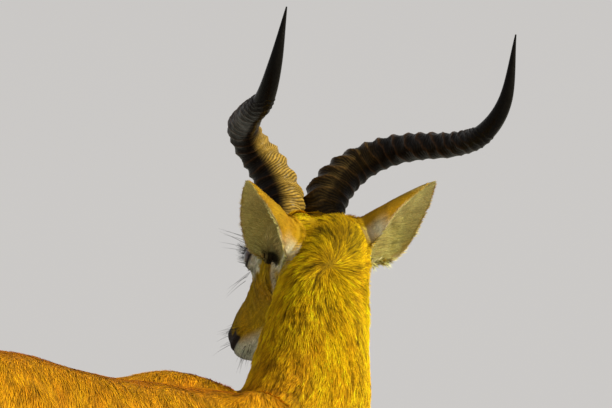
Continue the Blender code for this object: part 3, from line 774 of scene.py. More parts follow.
    def neck_axes(self, rows: Array) -> tuple[Array, Array]:
        """Dorsal and left unit vectors of neck sections."""
        yaw, slope = np.radians(rows[:, 3]), np.radians(rows[:, 4])
        heading = np.column_stack([np.cos(yaw), np.sin(yaw), np.zeros(len(rows))])
        back = -heading * np.cos(slope)[:, None]
        back[:, 2] += np.sin(slope)
        return back, np.column_stack([-heading[:, 1], heading[:, 0], np.zeros(len(rows))])

    def neck_form(self) -> Shape:
        """The neck, bending and twisting to the left."""
        rows = curve(self.neck, np.linspace(0, 1, 40))
        back, side = self.neck_axes(rows)
        return tube(ovals(rows[:, :3], back, side, rows[:, 5], rows[:, 6], rows[:, 7], 40))

    def stations(self, leg: str) -> Array:
        """Stations of a leg, from the top down."""
        return getattr(self, leg.split("_")[0])

    def leg_shift(self, leg: str, height: Array) -> Array:
        """How far the points of a leg at these heights swing along X."""
        share = np.maximum(0.0, 1.0 - height / self.swing_from[leg.split("_")[0]])
        return self.stance[leg] * np.minimum(1.0, share * 1.15)

    def leg_forms(self, leg: str) -> list[Shape]:
        """One leg, with the tendon and heel of a hind leg."""
        side = side_of(leg)
        rows = curve(self.stations(leg), np.linspace(0, 1, 70))
        forms = [(rows, rows[:, 3], rows[:, 4], 26)]
        if leg.startswith("hind"):
            cord = curve(self.tendon, np.linspace(0, 1, 24))
            forms.append((cord, cord[:, 3], cord[:, 3] * 0.85, 16))
            shin = [np.interp(cord[:, 2], rows[::-1, 2], rows[::-1, k]) for k in (0, 1)]
            web = cord.copy()
            web[:, 0] = (cord[:, 0] + shin[0]) / 2
            web[:, 1] = (cord[:, 1] + shin[1]) / 2
            reach = np.maximum(np.abs(cord[:, 0] - shin[0]) / 2, 0.008)
            forms.append((web, reach, np.full(len(web), self.web_thickness), 16))
        made = []
        for path, fore, across, sides in forms:
            shift = self.leg_shift(leg, path[:, 2])
            centre = np.column_stack([path[:, 0] + shift, path[:, 1] * side, path[:, 2]])
            made.append(tube(ovals(centre, repeated(AHEAD, len(path)), repeated(LEFT, len(path)),
                                   fore, fore, across, sides)))
        return made

    def tail_form(self) -> Shape:
        """The hanging tail."""
        rows = curve(self.tail, np.linspace(0, 1, 44))
        along, _, _ = carried_frames(rows[:, :3], LEFT)
        side = repeated(LEFT, len(rows))
        radius = rows[:, 3]
        return tube(ovals(rows[:, :3], np.cross(side, along), side,
                          radius * 0.85, radius * 0.85, radius, 18))

    def body_forms(self) -> list[Shape]:
        """Everything below the head."""
        made = [self.lofted(self.trunk, 60, 40, self.trunk_fullness), self.tail_form()]
        for mass in self.masses:
            made.extend(mass.shapes())
        for leg in self.stance:
            made.extend(self.leg_forms(leg))
        return made

    def head_forms(self) -> list[Shape]:
        """The head with its masses and ears."""
        made = [self.lofted(self.head, 70, 48, self.head_fullness)]
        for (x, y, z), radii in self.head_masses:
            made.extend(ball((x, y * side.value, z), radii) for side in Side)
        made.extend(ear.shape() for ear in self.ears)
        return [shape.carried(self.to_world) for shape in made]

    # ---- fields ----
    def eye(self, side: Side) -> Array:
        """Middle of one eye in head centimetres."""
        return np.array(self.eye_centre) * (1, side.value, 1)

    def head_places(self, points: Array) -> Array:
        """Points in head centimetres."""
        return points @ self.to_head[:3, :3].T + self.to_head[:3, 3]

    def headness(self, head: Array) -> Array:
        """1 on the head, 0 on the neck, soft where they meet."""
        down = unit(np.subtract(self.throat, self.nape))
        behind = (head[:, [0, 2]] - self.nape) @ np.array([-down[1], down[0]])
        under = head[:, 2] - (self.throat[1] + 0.19 * (head[:, 0] - self.throat[0]))
        near = apart(head, (12.0, 0.0, -6.0)) < 26
        return step(-1.5, 1.5, behind) * step(-1.2, 1.2, under) * near

    def neck_places(self, points: Array) -> tuple[Array, Array, Array]:
        """Share along the neck's axis, its direction and the distance from it."""
        offset = points[:, None, :] - self.neck_samples[None, :, :3]
        distance = np.einsum("ijk,ijk->ij", offset, offset)
        nearest = distance.argmin(1)
        rows = np.arange(len(points))
        return (nearest / (len(self.neck_samples) - 1), self.neck_along[nearest],
                np.sqrt(distance[rows, nearest]))

    def past_shoulder(self, points: Array) -> Array:
        """How far points lie up the neck from its root, in metres."""
        return (points - np.array(self.neck_root)) @ np.array(self.neck_way)

    def neckness(self, points: Array) -> Array:
        """1 on the neck and head, 0 on the trunk."""
        return step(-0.05, 0.05, self.past_shoulder(points))

    def tailness(self, points: Array) -> Array:
        """1 on the tail, 0 elsewhere."""
        return step(-0.548, -0.562, points[:, 0]) * (points[:, 2] > 0.55)

    def leg_axis(self, points: Array) -> tuple[Array, Array]:
        """X and Y of the middle of the leg that each point belongs to."""
        fore = points[:, 0] > 0.0
        left = points[:, 1] > 0.0
        x, y = np.zeros(len(points)), np.zeros(len(points))
        for leg in self.stance:
            chosen = (fore == leg.startswith("fore")) & (left == (side_of(leg) > 0))
            rows = self.stations(leg)[::-1]
            z = points[chosen, 2]
            x[chosen] = np.interp(z, rows[:, 2], rows[:, 0]) + self.leg_shift(leg, z)
            y[chosen] = np.interp(z, rows[:, 2], rows[:, 1]) * side_of(leg)
        return x, y


# ---- Finishes ----
COLOUR = "coat_colour"


def dial(node: bpy.types.Node, settings: dict[str, float]) -> None:
    """Set unlinked inputs of a node."""
    for name, value in settings.items():
        node.inputs[name].default_value = value


@dataclass(frozen=True)
class Finish:
    """A procedural surface whose colour is a stored attribute broken up by noise."""

    name: str
    roughness: float
    grain: float = 400.0
    contrast: float = 0.25
    relief: float = 0.0005
    stretch: Triple = (1.0, 1.0, 1.0)
    gloss: float = 0.0
    specular: float = 0.5

    def material(self) -> bpy.types.Material:
        """The material, made once and shared by every piece that wears it."""
        if self.name in bpy.data.materials:
            return bpy.data.materials[self.name]
        made = bpy.data.materials.new(self.name)
        made.use_nodes = True
        nodes, links = made.node_tree.nodes, made.node_tree.links
        shader = nodes["Principled BSDF"]
        dial(shader, {"Roughness": self.roughness, "Coat Weight": self.gloss,
                      "Coat Roughness": 0.02, "Specular IOR Level": self.specular})
        place = nodes.new("ShaderNodeTexCoord")
        scale = nodes.new("ShaderNodeMapping")
        scale.inputs["Scale"].default_value = self.stretch
        links.new(place.outputs["Object"], scale.inputs["Vector"])
        noise = nodes.new("ShaderNodeTexNoise")
        dial(noise, {"Scale": self.grain, "Detail": 3.0})
        links.new(scale.outputs["Vector"], noise.inputs["Vector"])
        spread = nodes.new("ShaderNodeMapRange")
        dial(spread, {"From Min": 0.3, "From Max": 0.7, "To Min": 1.0 - self.contrast,
                      "To Max": 1.0 + self.contrast})
        links.new(noise.outputs["Fac"], spread.inputs["Value"])
        stored = nodes.new("ShaderNodeAttribute")
        stored.attribute_name = COLOUR
        tint = nodes.new("ShaderNodeVectorMath")
        tint.operation = "SCALE"
        links.new(stored.outputs["Color"], tint.inputs[0])
        links.new(spread.outputs["Result"], tint.inputs["Scale"])
        links.new(tint.outputs["Vector"], shader.inputs["Base Color"])
        if self.relief:
            raise_up = nodes.new("ShaderNodeBump")
            raise_up.inputs["Distance"].default_value = self.relief
            links.new(noise.outputs["Fac"], raise_up.inputs["Height"])
            links.new(raise_up.outputs["Normal"], shader.inputs["Normal"])
        return made


HIDE = Finish("hide", 0.72, 900.0, 0.30, 0.0008, specular=0.10)
HAIR = Finish("hair", 0.68, 700.0, 0.18, 0.0, specular=0.06)
HORN = Finish("horn_sheath", 0.33, 260.0, 0.30, 0.0006, specular=0.06)
HOOF = Finish("claw_sheath", 0.50, 300.0, 0.30, 0.0008, stretch=(1.0, 1.0, 0.2))
EYE = Finish("eye_surface", 0.08, 500.0, 0.20, 0.0, gloss=1.0)
RIM = Finish("lid_rim", 0.38, 900.0, 0.20, 0.0004)
BRISTLE = Finish("bristle", 0.40, 900.0, 0.15, 0.0)


@dataclass(frozen=True)
class Palette:
    """Display colours of the coat and of the bare parts."""

    flank: Rgb = (202, 138, 14)
    back: Rgb = (168, 96, 10)
    neck: Rgb = (208, 162, 9)
    crown: Rgb = (202, 156, 14)
    face: Rgb = (192, 152, 20)
    bridge: Rgb = (122, 80, 26)
    white: Rgb = (232, 228, 206)
    black: Rgb = (30, 23, 19)
    bare: Rgb = (44, 34, 31)
    ear: Rgb = (188, 142, 26)
    inner_ear: Rgb = (236, 226, 152)
    ear_floor: Rgb = (128, 106, 58)

    def colour(self, name: str) -> Array:
        """Linear colour of this name."""
        return srgb(*getattr(self, name))


# ---- Pieces ----
@dataclass
class Showroom:
    """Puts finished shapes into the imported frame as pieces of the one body."""

    shift: Array

    def show(self, name: str, shape: Shape, finish: Finish,
             colours: Array, replaced: tuple[str, ...] = (),
             smooth: bool = True) -> bpy.types.Object:
        """Make a piece of the model.

        Args:
            name: The piece's name.
            shape: Its mesh in the frame that the forms are designed in.
            finish: What it is made of.
            colours: One linear colour for each point.
            replaced: The solids that it stands for.
            smooth: Whether its faces are shaded smoothly.

        Returns:
            The new object.
        """
        shape.points = shape.points + self.shift
        made = new_object(name, shape, smooth)
        stored = made.data.color_attributes.new(COLOUR, "FLOAT_COLOR", "POINT")
        rows = np.ones((len(shape.points), 4), np.float32)
        rows[:, :3] = colours
        stored.data.foreach_set("color", rows.ravel())
        made.data.materials.append(finish.material())
        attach(made, BODY)
        if replaced:
            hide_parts(*replaced)
        LOG.info("%s: %d triangles", name, len(shape.tris))
        return made


# ---- Skin ----
class Zone(Enum):
    """Regions of the coat, each in pieces of its own."""

    TRUNK = 0
    NECK = 1
    HEAD = 2
    EARS = 3
    LEGS = 4
    TAIL = 5


@dataclass
class Hair:
    """What grows at each point of the skin."""

    zone: Array
    lie: Array
    length: Array
    density: Array
    lift: Array
    colour: Array
    under: Array


@dataclass
class Lids:
    """The almond opening of an eye, in head centimetres from the eye's middle."""

    half_length: float = 1.50
    half_height: float = 1.12
    roundness: float = 1.7
    thickness: float = 0.15
    outward: Triple = (0.12, 1.0, 0.10)
    tilt: float = 14.0

    def axes(self, side: Side) -> tuple[Array, Array, Array]:
        """Unit vectors out of the socket, towards the inner corner and up."""
        out = unit(np.array(self.outward) * (1, side.value, 1))
        turn = math.radians(self.tilt)
        ahead = np.array([math.cos(turn), 0.0, -math.sin(turn)])
        ahead = unit(ahead - out * (ahead @ out))
        up = np.cross(out, ahead)
        return out, ahead, up * np.sign(up[2])

    def openness(self, ahead: Array, up: Array) -> Array:
        """Below 1 inside the opening, above 1 on the lids."""
        return ((np.abs(ahead) / self.half_length) ** self.roundness
                + (up / self.half_height) ** 2)

    def edge(self, turn: Array) -> tuple[Array, Array]:
        """Ahead and up distances of the opening's rim."""
        c, s = np.cos(turn), np.sin(turn)
        return (np.sign(c) * np.abs(c) ** (2 / self.roundness) * self.half_length,
                s * self.half_height)


@dataclass
class Parts:
    """The skin's points, also in head centimetres, and their shares in the body's parts."""

    points: Array
    normals: Array
    head: Array
    face: Array
    neck: Array
    tail: Array
    leg: Array
    ears: Array


@dataclass(frozen=True)
class Growth:
    """Length in metres and tufts on a square centimetre, and their change along a zone."""

    length: float
    density: float
    longer: float = 0.0
    denser: float = 0.0

    def at(self, share: Array) -> tuple[Array, Array]:
        """Length and density at shares of the way along the zone."""
        return self.length + self.longer * share, self.density + self.denser * share


GROWTH = {
    Zone.TRUNK: Growth(0.0175, 12.7, longer=0.006),
    Zone.NECK: Growth(0.0185, 41.0),
    Zone.HEAD: Growth(0.0125, 51.0, longer=-0.0085, denser=37.0),
    Zone.EARS: Growth(0.0065, 52.0),
    Zone.LEGS: Growth(0.014, 12.0, longer=-0.0075, denser=15.0),
    Zone.TAIL: Growth(0.016, 26.0, longer=0.046, denser=20.0),
}


@dataclass(frozen=True)
class Pattern:
    """The markings that skin and coat share, and the shade and light painted on crown and chin.

    A pair is a soft edge, with no colour at its first value and all of it at its second,
    and several edges bound a region.  Those of the body are in metres and those of the
    head in centimetres.
    """

    anatomy: Anatomy
    palette: Palette
    wander: float = 0.012
    spine_width: Pair = (0.062, 0.018)
    spine_facing: Pair = (0.3, 0.8)
    golden_neck: Pair = (-0.12, 0.24)
    belly: Edges = (("z", 0.575, 0.545), ("x", 0.42, 0.36), ("x", -0.42, -0.34),
                    ("z", 0.46, 0.50))
    thigh: Edges = (("y", 0.075, 0.055), ("z", 0.60, 0.54), ("z", 0.30, 0.36))
    inward: Pair = (0.10, -0.20)
    downward: Pair = (-0.25, -0.60)
    tail_facing: Pair = (-0.2, 0.3)
    tail_white: Pair = (0.70, 0.76)
    tail_tuft: Pair = (0.735, 0.70)
    stripe_turn: Pair = (1.15, 0.75)
    stripe_top: Pair = (0.50, 0.46)
    stripe_reach: Pair = (0.50, 0.34)
    stripe_fade: float = 0.10
    fetlock: Edges = (("z", 0.125, 0.11), ("z", 0.08, 0.09))
    band: Edges = (("z", 0.088, 0.080), ("z", 0.034, 0.040))
    throat_facing: Pair = (0.35, 0.75)
    throat_start: Pair = (0.60, 0.68)
    crown_middle: Triple = (-2.0, 0.0, -4.0)
    crown_reach: float = 8.0
    crown: Edges = (("x", 10.0, 4.0), ("z", -9.0, -6.0))
    # Painted shade on the crown's right side and above the whorl, where ear and horn cast shadow, and
    # painted light on its lit left side: place, reach and change of brightness
    crown_painted_light_and_shade: tuple[tuple[Triple, float, float], ...] = (
        ((-5.2, -0.6, -11.2), 4.2, -0.56),
        ((-4.8, 1.8, -14.0), 2.6, -0.18),
        ((-3.1, 3.7, -7.9), 2.8, 0.62),
    )
    bridge: Edges = (("y", 1.9, 0.6), ("x", 13.0, 18.0), ("z", -5.0, -3.0))
    jaw_level: Pair = (-10.9, -12.2)
    chin: Edges = (("z", -8.3, -8.9), ("x", 21.8, 24.6))
    lip: Edges = (("x", 25.6, 27.0), ("z", -6.4, -7.0))
    cheek_from: Pair = (5.6, -8.4)
    cheek_way: Pair = (0.53, -0.85)
    cheek_length: float = 6.0
    cheek_width: Pair = (0.95, 0.45)
    ring_scale: Triple = (0.80, 1.0, 1.05)
    ring_behind: float = 1.55
    ring_reach: Pair = (3.45, 2.70)
    spot: Triple = (4.7, 6.5, -9.4)
    spot_reach: Pair = (1.50, 1.00)

    def colours(self, on: Parts) -> Array:
        """Linear colour of every point."""
        pick = self.palette.colour
        wave = self.wander * ripple(on.points, 0.05, 41)
        colour = self.legs(self.body(on, wave), on, wave)
        colour = self.throat(self.tail(colour, on, wave), on, wave)
        colour = mix(colour, pick("crown"),
                     0.85 * bump(apart(on.head, self.crown_middle), self.crown_reach))
        colour = mix(colour, self.face(on.head), on.face)
        # Painted shade and painted light on the crown
        for place, reach, tone in self.crown_painted_light_and_shade:
            colour = colour * (1 + tone * bump(apart(on.head, place), reach))[:, None]
        colour = self.eye_rings(colour, on)
        for ear in self.anatomy.ears:
            colour = self.ear(colour, on, ear)
        spot = apart(folded(on.head), self.spot)
        return mix(colour, pick("black"), 0.95 * step(*self.spot_reach, spot))

    def body(self, on: Parts, wave: Array) -> Array:
        """Golden flanks and neck, a darker back and white below and between the legs."""
        pick = self.palette.colour
        px, py, pz = on.points.T
        px, pz = px + wave, pz + wave
        across = np.abs(py)
        spine = step(*self.spine_width, np.abs(py + 0.3 * wave))
        colour = mix(pick("flank"), pick("back"),
                     0.9 * (spine * step(*self.spine_facing, on.normals[:, 2])))
        golden = step(*self.golden_neck, self.anatomy.past_shoulder(on.points))
        colour = mix(colour, pick("neck"), golden)
        white = np.maximum(within(self.belly, x=px, z=pz), within(self.thigh, y=across, z=pz))
        inward = step(*self.inward, on.normals[:, 1] * np.sign(py))
        downward = step(*self.downward, on.normals[:, 2])
        white = white * np.maximum(inward, downward)
        return mix(colour, pick("white"), white * (1 - on.neck) * (1 - on.tail))

    def legs(self, colour: Array, on: Parts, wave: Array) -> Array:
        """The dark stripe down the legs and the white band over the hooves."""
        pick = self.palette.colour
        px, py, pz = on.points.T
        x, y = self.anatomy.leg_axis(on.points)
        turn = np.arctan2((py - y) * np.sign(py), px - x)
        reach = np.where(px > 0, *self.stripe_reach)
        level = pz + wave
        stripe = step(*self.stripe_turn, np.abs(turn))
        stripe = stripe * step(reach, reach - self.stripe_fade, level)
        stripe = np.maximum(stripe, within(self.fetlock, z=level))
        stripe = stripe * step(*self.stripe_top, level)
        on_leg = pz < self.stripe_top[0]
        colour = mix(colour, pick("black"), 0.95 * stripe * on_leg)
        return mix(colour, pick("white"), within(self.band, z=level) * on_leg)

    def tail(self, colour: Array, on: Parts, wave: Array) -> Array:
        """White under the tail and a black tuft at its end."""
        pick = self.palette.colour
        level = on.points[:, 2] + wave
        under = on.tail * step(*self.tail_facing, on.normals[:, 0])
        colour = mix(colour, pick("white"), under * step(*self.tail_white, level))
        return mix(colour, pick("black"), on.tail * step(*self.tail_tuft, level))

    def throat(self, colour: Array, on: Parts, wave: Array) -> Array:
        """The white patch under the head."""
        kob = self.anatomy
        share, _, _ = kob.neck_places(on.points)
        back, _ = kob.neck_axes(kob.neck_rows(share))
        patch = step(*self.throat_facing, -dots(on.normals, back))
        patch = patch * step(*self.throat_start, share + wave)
        return mix(colour, self.palette.colour("white"), patch * on.neck * (1 - on.face))

    def face(self, head: Array) -> Array:
        """Golden face with a dark bridge and white jaw, lips, chin and cheek line."""
        pick = self.palette.colour
        x, y, z = head.T
        across = np.abs(y)
        coat = mix(pick("face"), pick("bridge"), 0.75 * within(self.bridge, x=x, y=across, z=z))
        coat = mix(coat, pick("crown"), within(self.crown, x=x, z=z))
        coat = mix(coat, pick("white"), 0.9 * step(*self.jaw_level, z - 0.24 * (x - 10)))
        lips = np.maximum(within(self.chin, x=x, z=z), within(self.lip, x=x, z=z))
        # Painted shade: the white of chin and lips is dimmed
        coat = mix(coat, 0.8 * pick("white"), lips)
        edge = np.column_stack([x, z]) - self.cheek_from
        line = np.array(self.cheek_way)
        reach = np.clip(edge @ line, 0.0, self.cheek_length)
        strip = np.linalg.norm(edge - reach[:, None] * line, axis=1)
        return mix(coat, pick("white"),
                   0.55 * step(*self.cheek_width, strip) * step(2.5, 3.5, across))

    def eye_rings(self, colour: Array, on: Parts) -> Array:
        """The white rings round the eyes, narrow behind them."""
        for side in Side:
            offset = (on.head - self.anatomy.eye(side)) * np.array(self.ring_scale)
            offset[:, 0] *= np.where(offset[:, 0] < 0, self.ring_behind, 1.0)
            away = np.linalg.norm(offset, axis=1) + 0.25 * ripple(on.head, 1.5, 51)
            ring = 0.95 * step(*self.ring_reach, away) * on.face
            colour = mix(colour, self.palette.colour("white"), ring)
        return colour

    def ear(self, colour: Array, on: Parts, ear: Ear) -> Array:
        """One ear: golden back with pale edges, pale lining and white below its root."""
        pick = self.palette.colour
        side = np.sign(on.head[:, 1]) == ear.side.value
        leaf = on.ears * side
        share, turn, depth = ear.places(on.head)
        rim = np.abs(turn)
        back = mix(pick("ear"), pick("crown"), 0.8 * step(0.50, 0.15, share))
        colour = mix(colour, back, leaf)
        pale = np.maximum(0.85 * step(0.62, 0.86, rim) * step(0.46, 0.22, share),
                          step(0.90, 0.99, rim) * step(0.98, 0.90, share))
        colour = mix(colour, pick("white"), leaf * pale * step(-0.1, 0.1, depth))
        cup = side * step(0.02, -0.10, depth) * step(-4.5, -3.5, depth) * (rim < 1.0)
        cup = cup * step(-0.30, -0.10, share) * (share < 1.1)
        colour = mix(colour, pick("inner_ear"), cup)
        bare = bump(turn, 0.38) * step(0.90, 0.50, share) + 0.6 * step(0.24, 0.05, share)
        colour = mix(colour, pick("ear_floor"), 0.50 * cup * np.clip(bare, 0, 1))
        below = step(4.6, 3.4, apart(on.head, ear.base)) * (1 - leaf) * (1 - cup)
        return mix(colour, pick("white"), 0.9 * (below * step(-8.6, -10.2, on.head[:, 2])))


@dataclass
class Skin:
    """One closed skin for head, ears, neck, trunk, legs and tail."""

    anatomy: Anatomy
    lids: Lids = field(default_factory=Lids)
    body_voxel: float = 0.006
    head_voxel: float = 0.0025
    graft_share: float = 0.50
    graft_gap: float = 0.004
    graft_width: float = 0.02
    graft_rounds: int = 6
    lowest: float = 0.034
    body_rounds: int = 14
    head_rounds: int = 30
    muzzle: Triple = (26.8, 0.0, -6.0)
    nostril: Triple = (28.5, 1.75, -4.6)
    mouth: Pair = (22.8, -7.35)
    nostril_slit: Triple = (-0.62, 0.42, 0.66)
    rib_width: float = 0.034
    hollow: Pair = (-0.235, 0.755)
    crease_middle: Triple = (0.400, -0.040, 0.895)
    crease_way: Triple = (0.80, -0.10, 0.58)
    crease_width: float = 0.017
    pleat_middle: Triple = (0.500, 0.085, 0.960)
    pleat_way: Triple = (0.35, 0.30, 0.90)
    pleat_width: float = 0.034
    leg_top: float = 0.42
    depth_on_trunk: float = 0.0034
    depth_on_legs: float = 0.0016
    depth_on_face: float = 0.0016
    depth_on_ears: float = 0.0007
    replaced: tuple[str, ...] = (
        "head", "neck", "trunk", "tail", "foreleg_left", "foreleg_right",
        "hindleg_left", "hindleg_right", "ear_left", "ear_right")

    def shape(self) -> Shape:
        """The worked skin, drawn in by the depth of the coat."""
        kob = self.anatomy
        neck = kob.neck_form()
        body = melted(kob.body_forms() + [neck], self.body_voxel)
        steady = np.clip((body.points[:, 2] - 0.45) / 0.08, 0.05, 1.0)
        body.smoothed(self.body_rounds, steady)
        upper = melted(kob.head_forms() + [neck], self.head_voxel)
        soft = 1.0 - 0.75 * self.ear_share(kob.head_places(upper.points))
        upper.smoothed(self.head_rounds, soft)
        row = int(self.graft_share * (len(kob.neck_samples) - 1))
        skin = grafted(body, upper, kob.neck_samples[row, :3], kob.neck_along[row],
                       self.graft_gap)
        near_graft = (skin.points - kob.neck_samples[row, :3]) @ kob.neck_along[row]
        skin.smoothed(self.graft_rounds, bump(near_graft, self.graft_width))
        for centre, reach, rounds in self.fine_places():
            skin = self.refined(skin, centre, reach, rounds)
        self.carve(skin)
        skin.points -= skin.normals() * self.coat_depth(skin.points)[:, None]
        skin.points[:, 2] = np.maximum(skin.points[:, 2], self.lowest)
        return skin

    def ear_share(self, head: Array) -> Array:
        """1 on the leaves of the ears."""
        total = np.zeros(len(head))
        for ear in self.anatomy.ears:
            share, turn, depth = ear.places(head)
            on = step(0.10, 0.24, share) * (share < 1.1) * (np.abs(turn) < 1.4)
            total = np.maximum(total, on * (np.abs(depth) < 0.9))
        return total

    def fine_places(self) -> list[tuple[Array, float, int]]:
        """Centres and reaches, in head centimetres, that need a finer mesh."""
        places = [(self.anatomy.eye(side), 3.1, 2) for side in Side]
        return places + [(np.array(self.muzzle), 5.2, 1)]

    def refined(self, skin: Shape, centre: Array, reach: float, rounds: int) -> Shape:
        """The skin with smaller triangles round a place."""
        for _ in range(rounds):
            bm = bmesh.new()
            mesh = skin.mesh("refined")
            bm.from_mesh(mesh)
            head = self.anatomy.head_places(skin.points)
            near = apart(head, centre) < reach
            edges = [edge for edge in bm.edges
                     if near[edge.verts[0].index] and near[edge.verts[1].index]]
            bmesh.ops.subdivide_edges(bm, edges=edges, cuts=1)
            bmesh.ops.triangulate(bm, faces=bm.faces)
            bpy.data.meshes.remove(mesh)
            skin = Shape.of_bmesh(bm)
            reach *= 0.86
        head = self.anatomy.head_places(skin.points)
        near = apart(head, centre) < reach
        return skin.smoothed(3, near.astype(float))

    def coat_depth(self, points: Array) -> Array:
        """How deep the coat is over each point, in metres."""
        kob = self.anatomy
        head = kob.head_places(points)
        face = kob.headness(head)
        depth = np.where(points[:, 2] < self.leg_top, self.depth_on_legs, self.depth_on_trunk)
        depth = fade(depth, self.depth_on_face, face)
        depth = fade(depth, self.depth_on_ears, self.ear_share(head))
        for side in Side:
            depth = depth * step(2.2, 3.4, apart(head, kob.eye(side)))
        return depth * step(29.0, 27.0, head[:, 0] * (face > 0.5))

    # ---- carving ----
    def carve(self, skin: Shape) -> None:
        """Work lids, nostrils, lips, hollows and folds into the skin."""
        kob = self.anatomy
        head = kob.head_places(skin.points)
        on_head = apart(head, (14.0, 0.0, -6.0)) < 22
        for side in Side:
            head = self.carve_eye(head, side)
        world = head @ kob.to_world[:3, :3].T + kob.to_world[:3, 3]
        skin.points = np.where(on_head[:, None], world, skin.points)
        normals = skin.normals()
        head = kob.head_places(skin.points)
        push = self.head_relief(head) * on_head * CM
        skin.points = skin.points + normals * (push + self.body_relief(skin.points))[:, None]

    def carve_eye(self, head: Array, side: Side) -> Array:
        """Lids that wrap the eyeball and a socket behind it."""
        kob = self.anatomy
        centre, radius = kob.eye(side), kob.eye_radius
        offset = head - centre
        far, facing, up, open_ = self.round_eye(offset, side)
        near = step(3.3, 2.2, far) * step(0.05, 0.45, facing)
        lid = np.maximum(far, radius + self.lids.thickness * step(3.4, 1.2, open_))
        over = up > 0
        lid += np.where(over, 0.10, 0.07) * bump(open_ - 1.55, 0.35)
        lid -= np.where(over, 0.13, 0.06) * bump(open_ - 2.55, 0.45)
        lid += np.where(over, 0.10, 0.0) * bump(open_ - 4.2, 1.1)
        target = lid + (0.80 * radius - lid) * step(1.02, 0.86, open_)
        moved = far + (target - far) * near
        return centre + offset * (moved / far)[:, None]

    def round_eye(self, offset: Array, side: Side) -> tuple[Array, Array, Array, Array]:
        """Where points lie about an eye.

        Args:
            offset: Head centimetres from the eye's middle.
            side: Which eye it is.

        Returns:
            Distance, how squarely the eye faces each point, its height on the eyeball
            and how far it is out of the opening of the lids, which ends at 1.
        """
        out, ahead, up = self.lids.axes(side)
        far = np.maximum(np.linalg.norm(offset, axis=1), 1e-6)
        radius = self.anatomy.eye_radius
        height = offset @ up / far * radius
        return (far, offset @ out / far, height,
                self.lids.openness(offset @ ahead / far * radius, height))

    def head_relief(self, head: Array) -> Array:
        """Rise of the head's skin along its normal, in centimetres."""
        x, y, z = head.T
        across = np.abs(y)
        nx, ny, nz = self.nostril
        slit = unit(np.array(self.nostril_slit))
        offset = np.column_stack([x - nx, across - ny, z - nz])
        along = offset @ slit
        aside = np.linalg.norm(offset - along[:, None] * slit, axis=1)
        rise = -0.62 * bump(aside, 0.30) * bump(along - 0.05, 0.85)
        rise += 0.10 * bump(aside - 0.65, 0.25) * bump(along, 1.0)
        corner, level = self.mouth
        line = level + 0.055 * (x - corner) - 0.10 * bump(x - 26.5, 1.5)
        lips = step(corner - 0.4, corner + 1.2, x)
        rise -= 0.24 * bump(z - line, 0.16) * lips
        rise += 0.10 * bump(z - line - 0.5, 0.35) * lips
        rise += 0.07 * bump(z - line + 0.5, 0.35) * lips
        rise -= 0.16 * bump(y, 0.13) * step(28.0, 29.0, x) * step(-4.0, -5.2, z)
        rise -= 0.22 * bump(x - 16.6, 1.5) * bump(z + 4.6, 1.2) * step(2.0, 3.2, across)
        rise -= 0.16 * bump(x - 20.5, 3.0) * bump(z + 6.3, 0.9) * step(1.5, 2.6, across)
        rise += 0.12 * bump(z + 4.2 - 0.10 * (x - 13.0), 0.6) * step(13.0, 15.5, x) * step(
            23.0, 19.0, x) * step(2.0, 3.2, across)
        rise += 0.10 * bump(z + 9.4 + 0.22 * (x - 10), 1.1) * step(15.0, 11.0, x) * step(
            0.0, 4.0, x) * step(3.0, 4.6, across)
        rise -= 0.12 * bump(y, 1.0) * bump(x - 13.5, 3.5) * step(-3.0, -1.0, z)
        rise += 0.035 * ripple(head, 1.7, 5) * step(29.0, 24.0, x)
        return rise

    def body_relief(self, points: Array) -> Array:
        """Rise of the body's skin along its normal, in metres."""
        x, y, z = points.T
        kob = self.anatomy
        neck = kob.neckness(points)
        trunk = (1 - neck) * step(0.48, 0.56, z)
        ribs = np.sin((x + 0.35 * (z - 0.7)) / self.rib_width * 2 * math.pi / 1.35)
        flank = bump(x, 0.17) * bump(z - 0.70, 0.13) * trunk
        rise = 0.0012 * ribs * flank
        rise += 0.0016 * ripple(points, 0.16, 11) * trunk
        hollow = bump(x - self.hollow[0], 0.055) * bump(z - self.hollow[1], 0.075) * trunk
        rise -= 0.009 * hollow * step(0.04, 0.10, np.abs(y))
        rise -= 0.006 * bump(x - 0.155, 0.035) * bump(z - 0.78, 0.12) * trunk
        base = points - np.array(self.crease_middle)
        lean = base @ unit(np.array(self.crease_way)) / self.crease_width
        creases = np.sin(lean * 2 * math.pi + 1.6 * ripple(points, 0.08, 23))
        rise += 0.0009 * creases * bump(np.linalg.norm(base, axis=1), 0.040)
        base = points - np.array(self.pleat_middle)
        pleats = np.sin(base @ unit(np.array(self.pleat_way)) / self.pleat_width * 2 * math.pi)
        rise += 0.0012 * pleats * bump(np.linalg.norm(base, axis=1), 0.060)
        head = kob.head_places(points)
        cord = neck * (1 - kob.headness(head)) * step(0.85, 0.92, z)
        return rise + 0.0011 * ripple(points, 0.07, 31) * cord


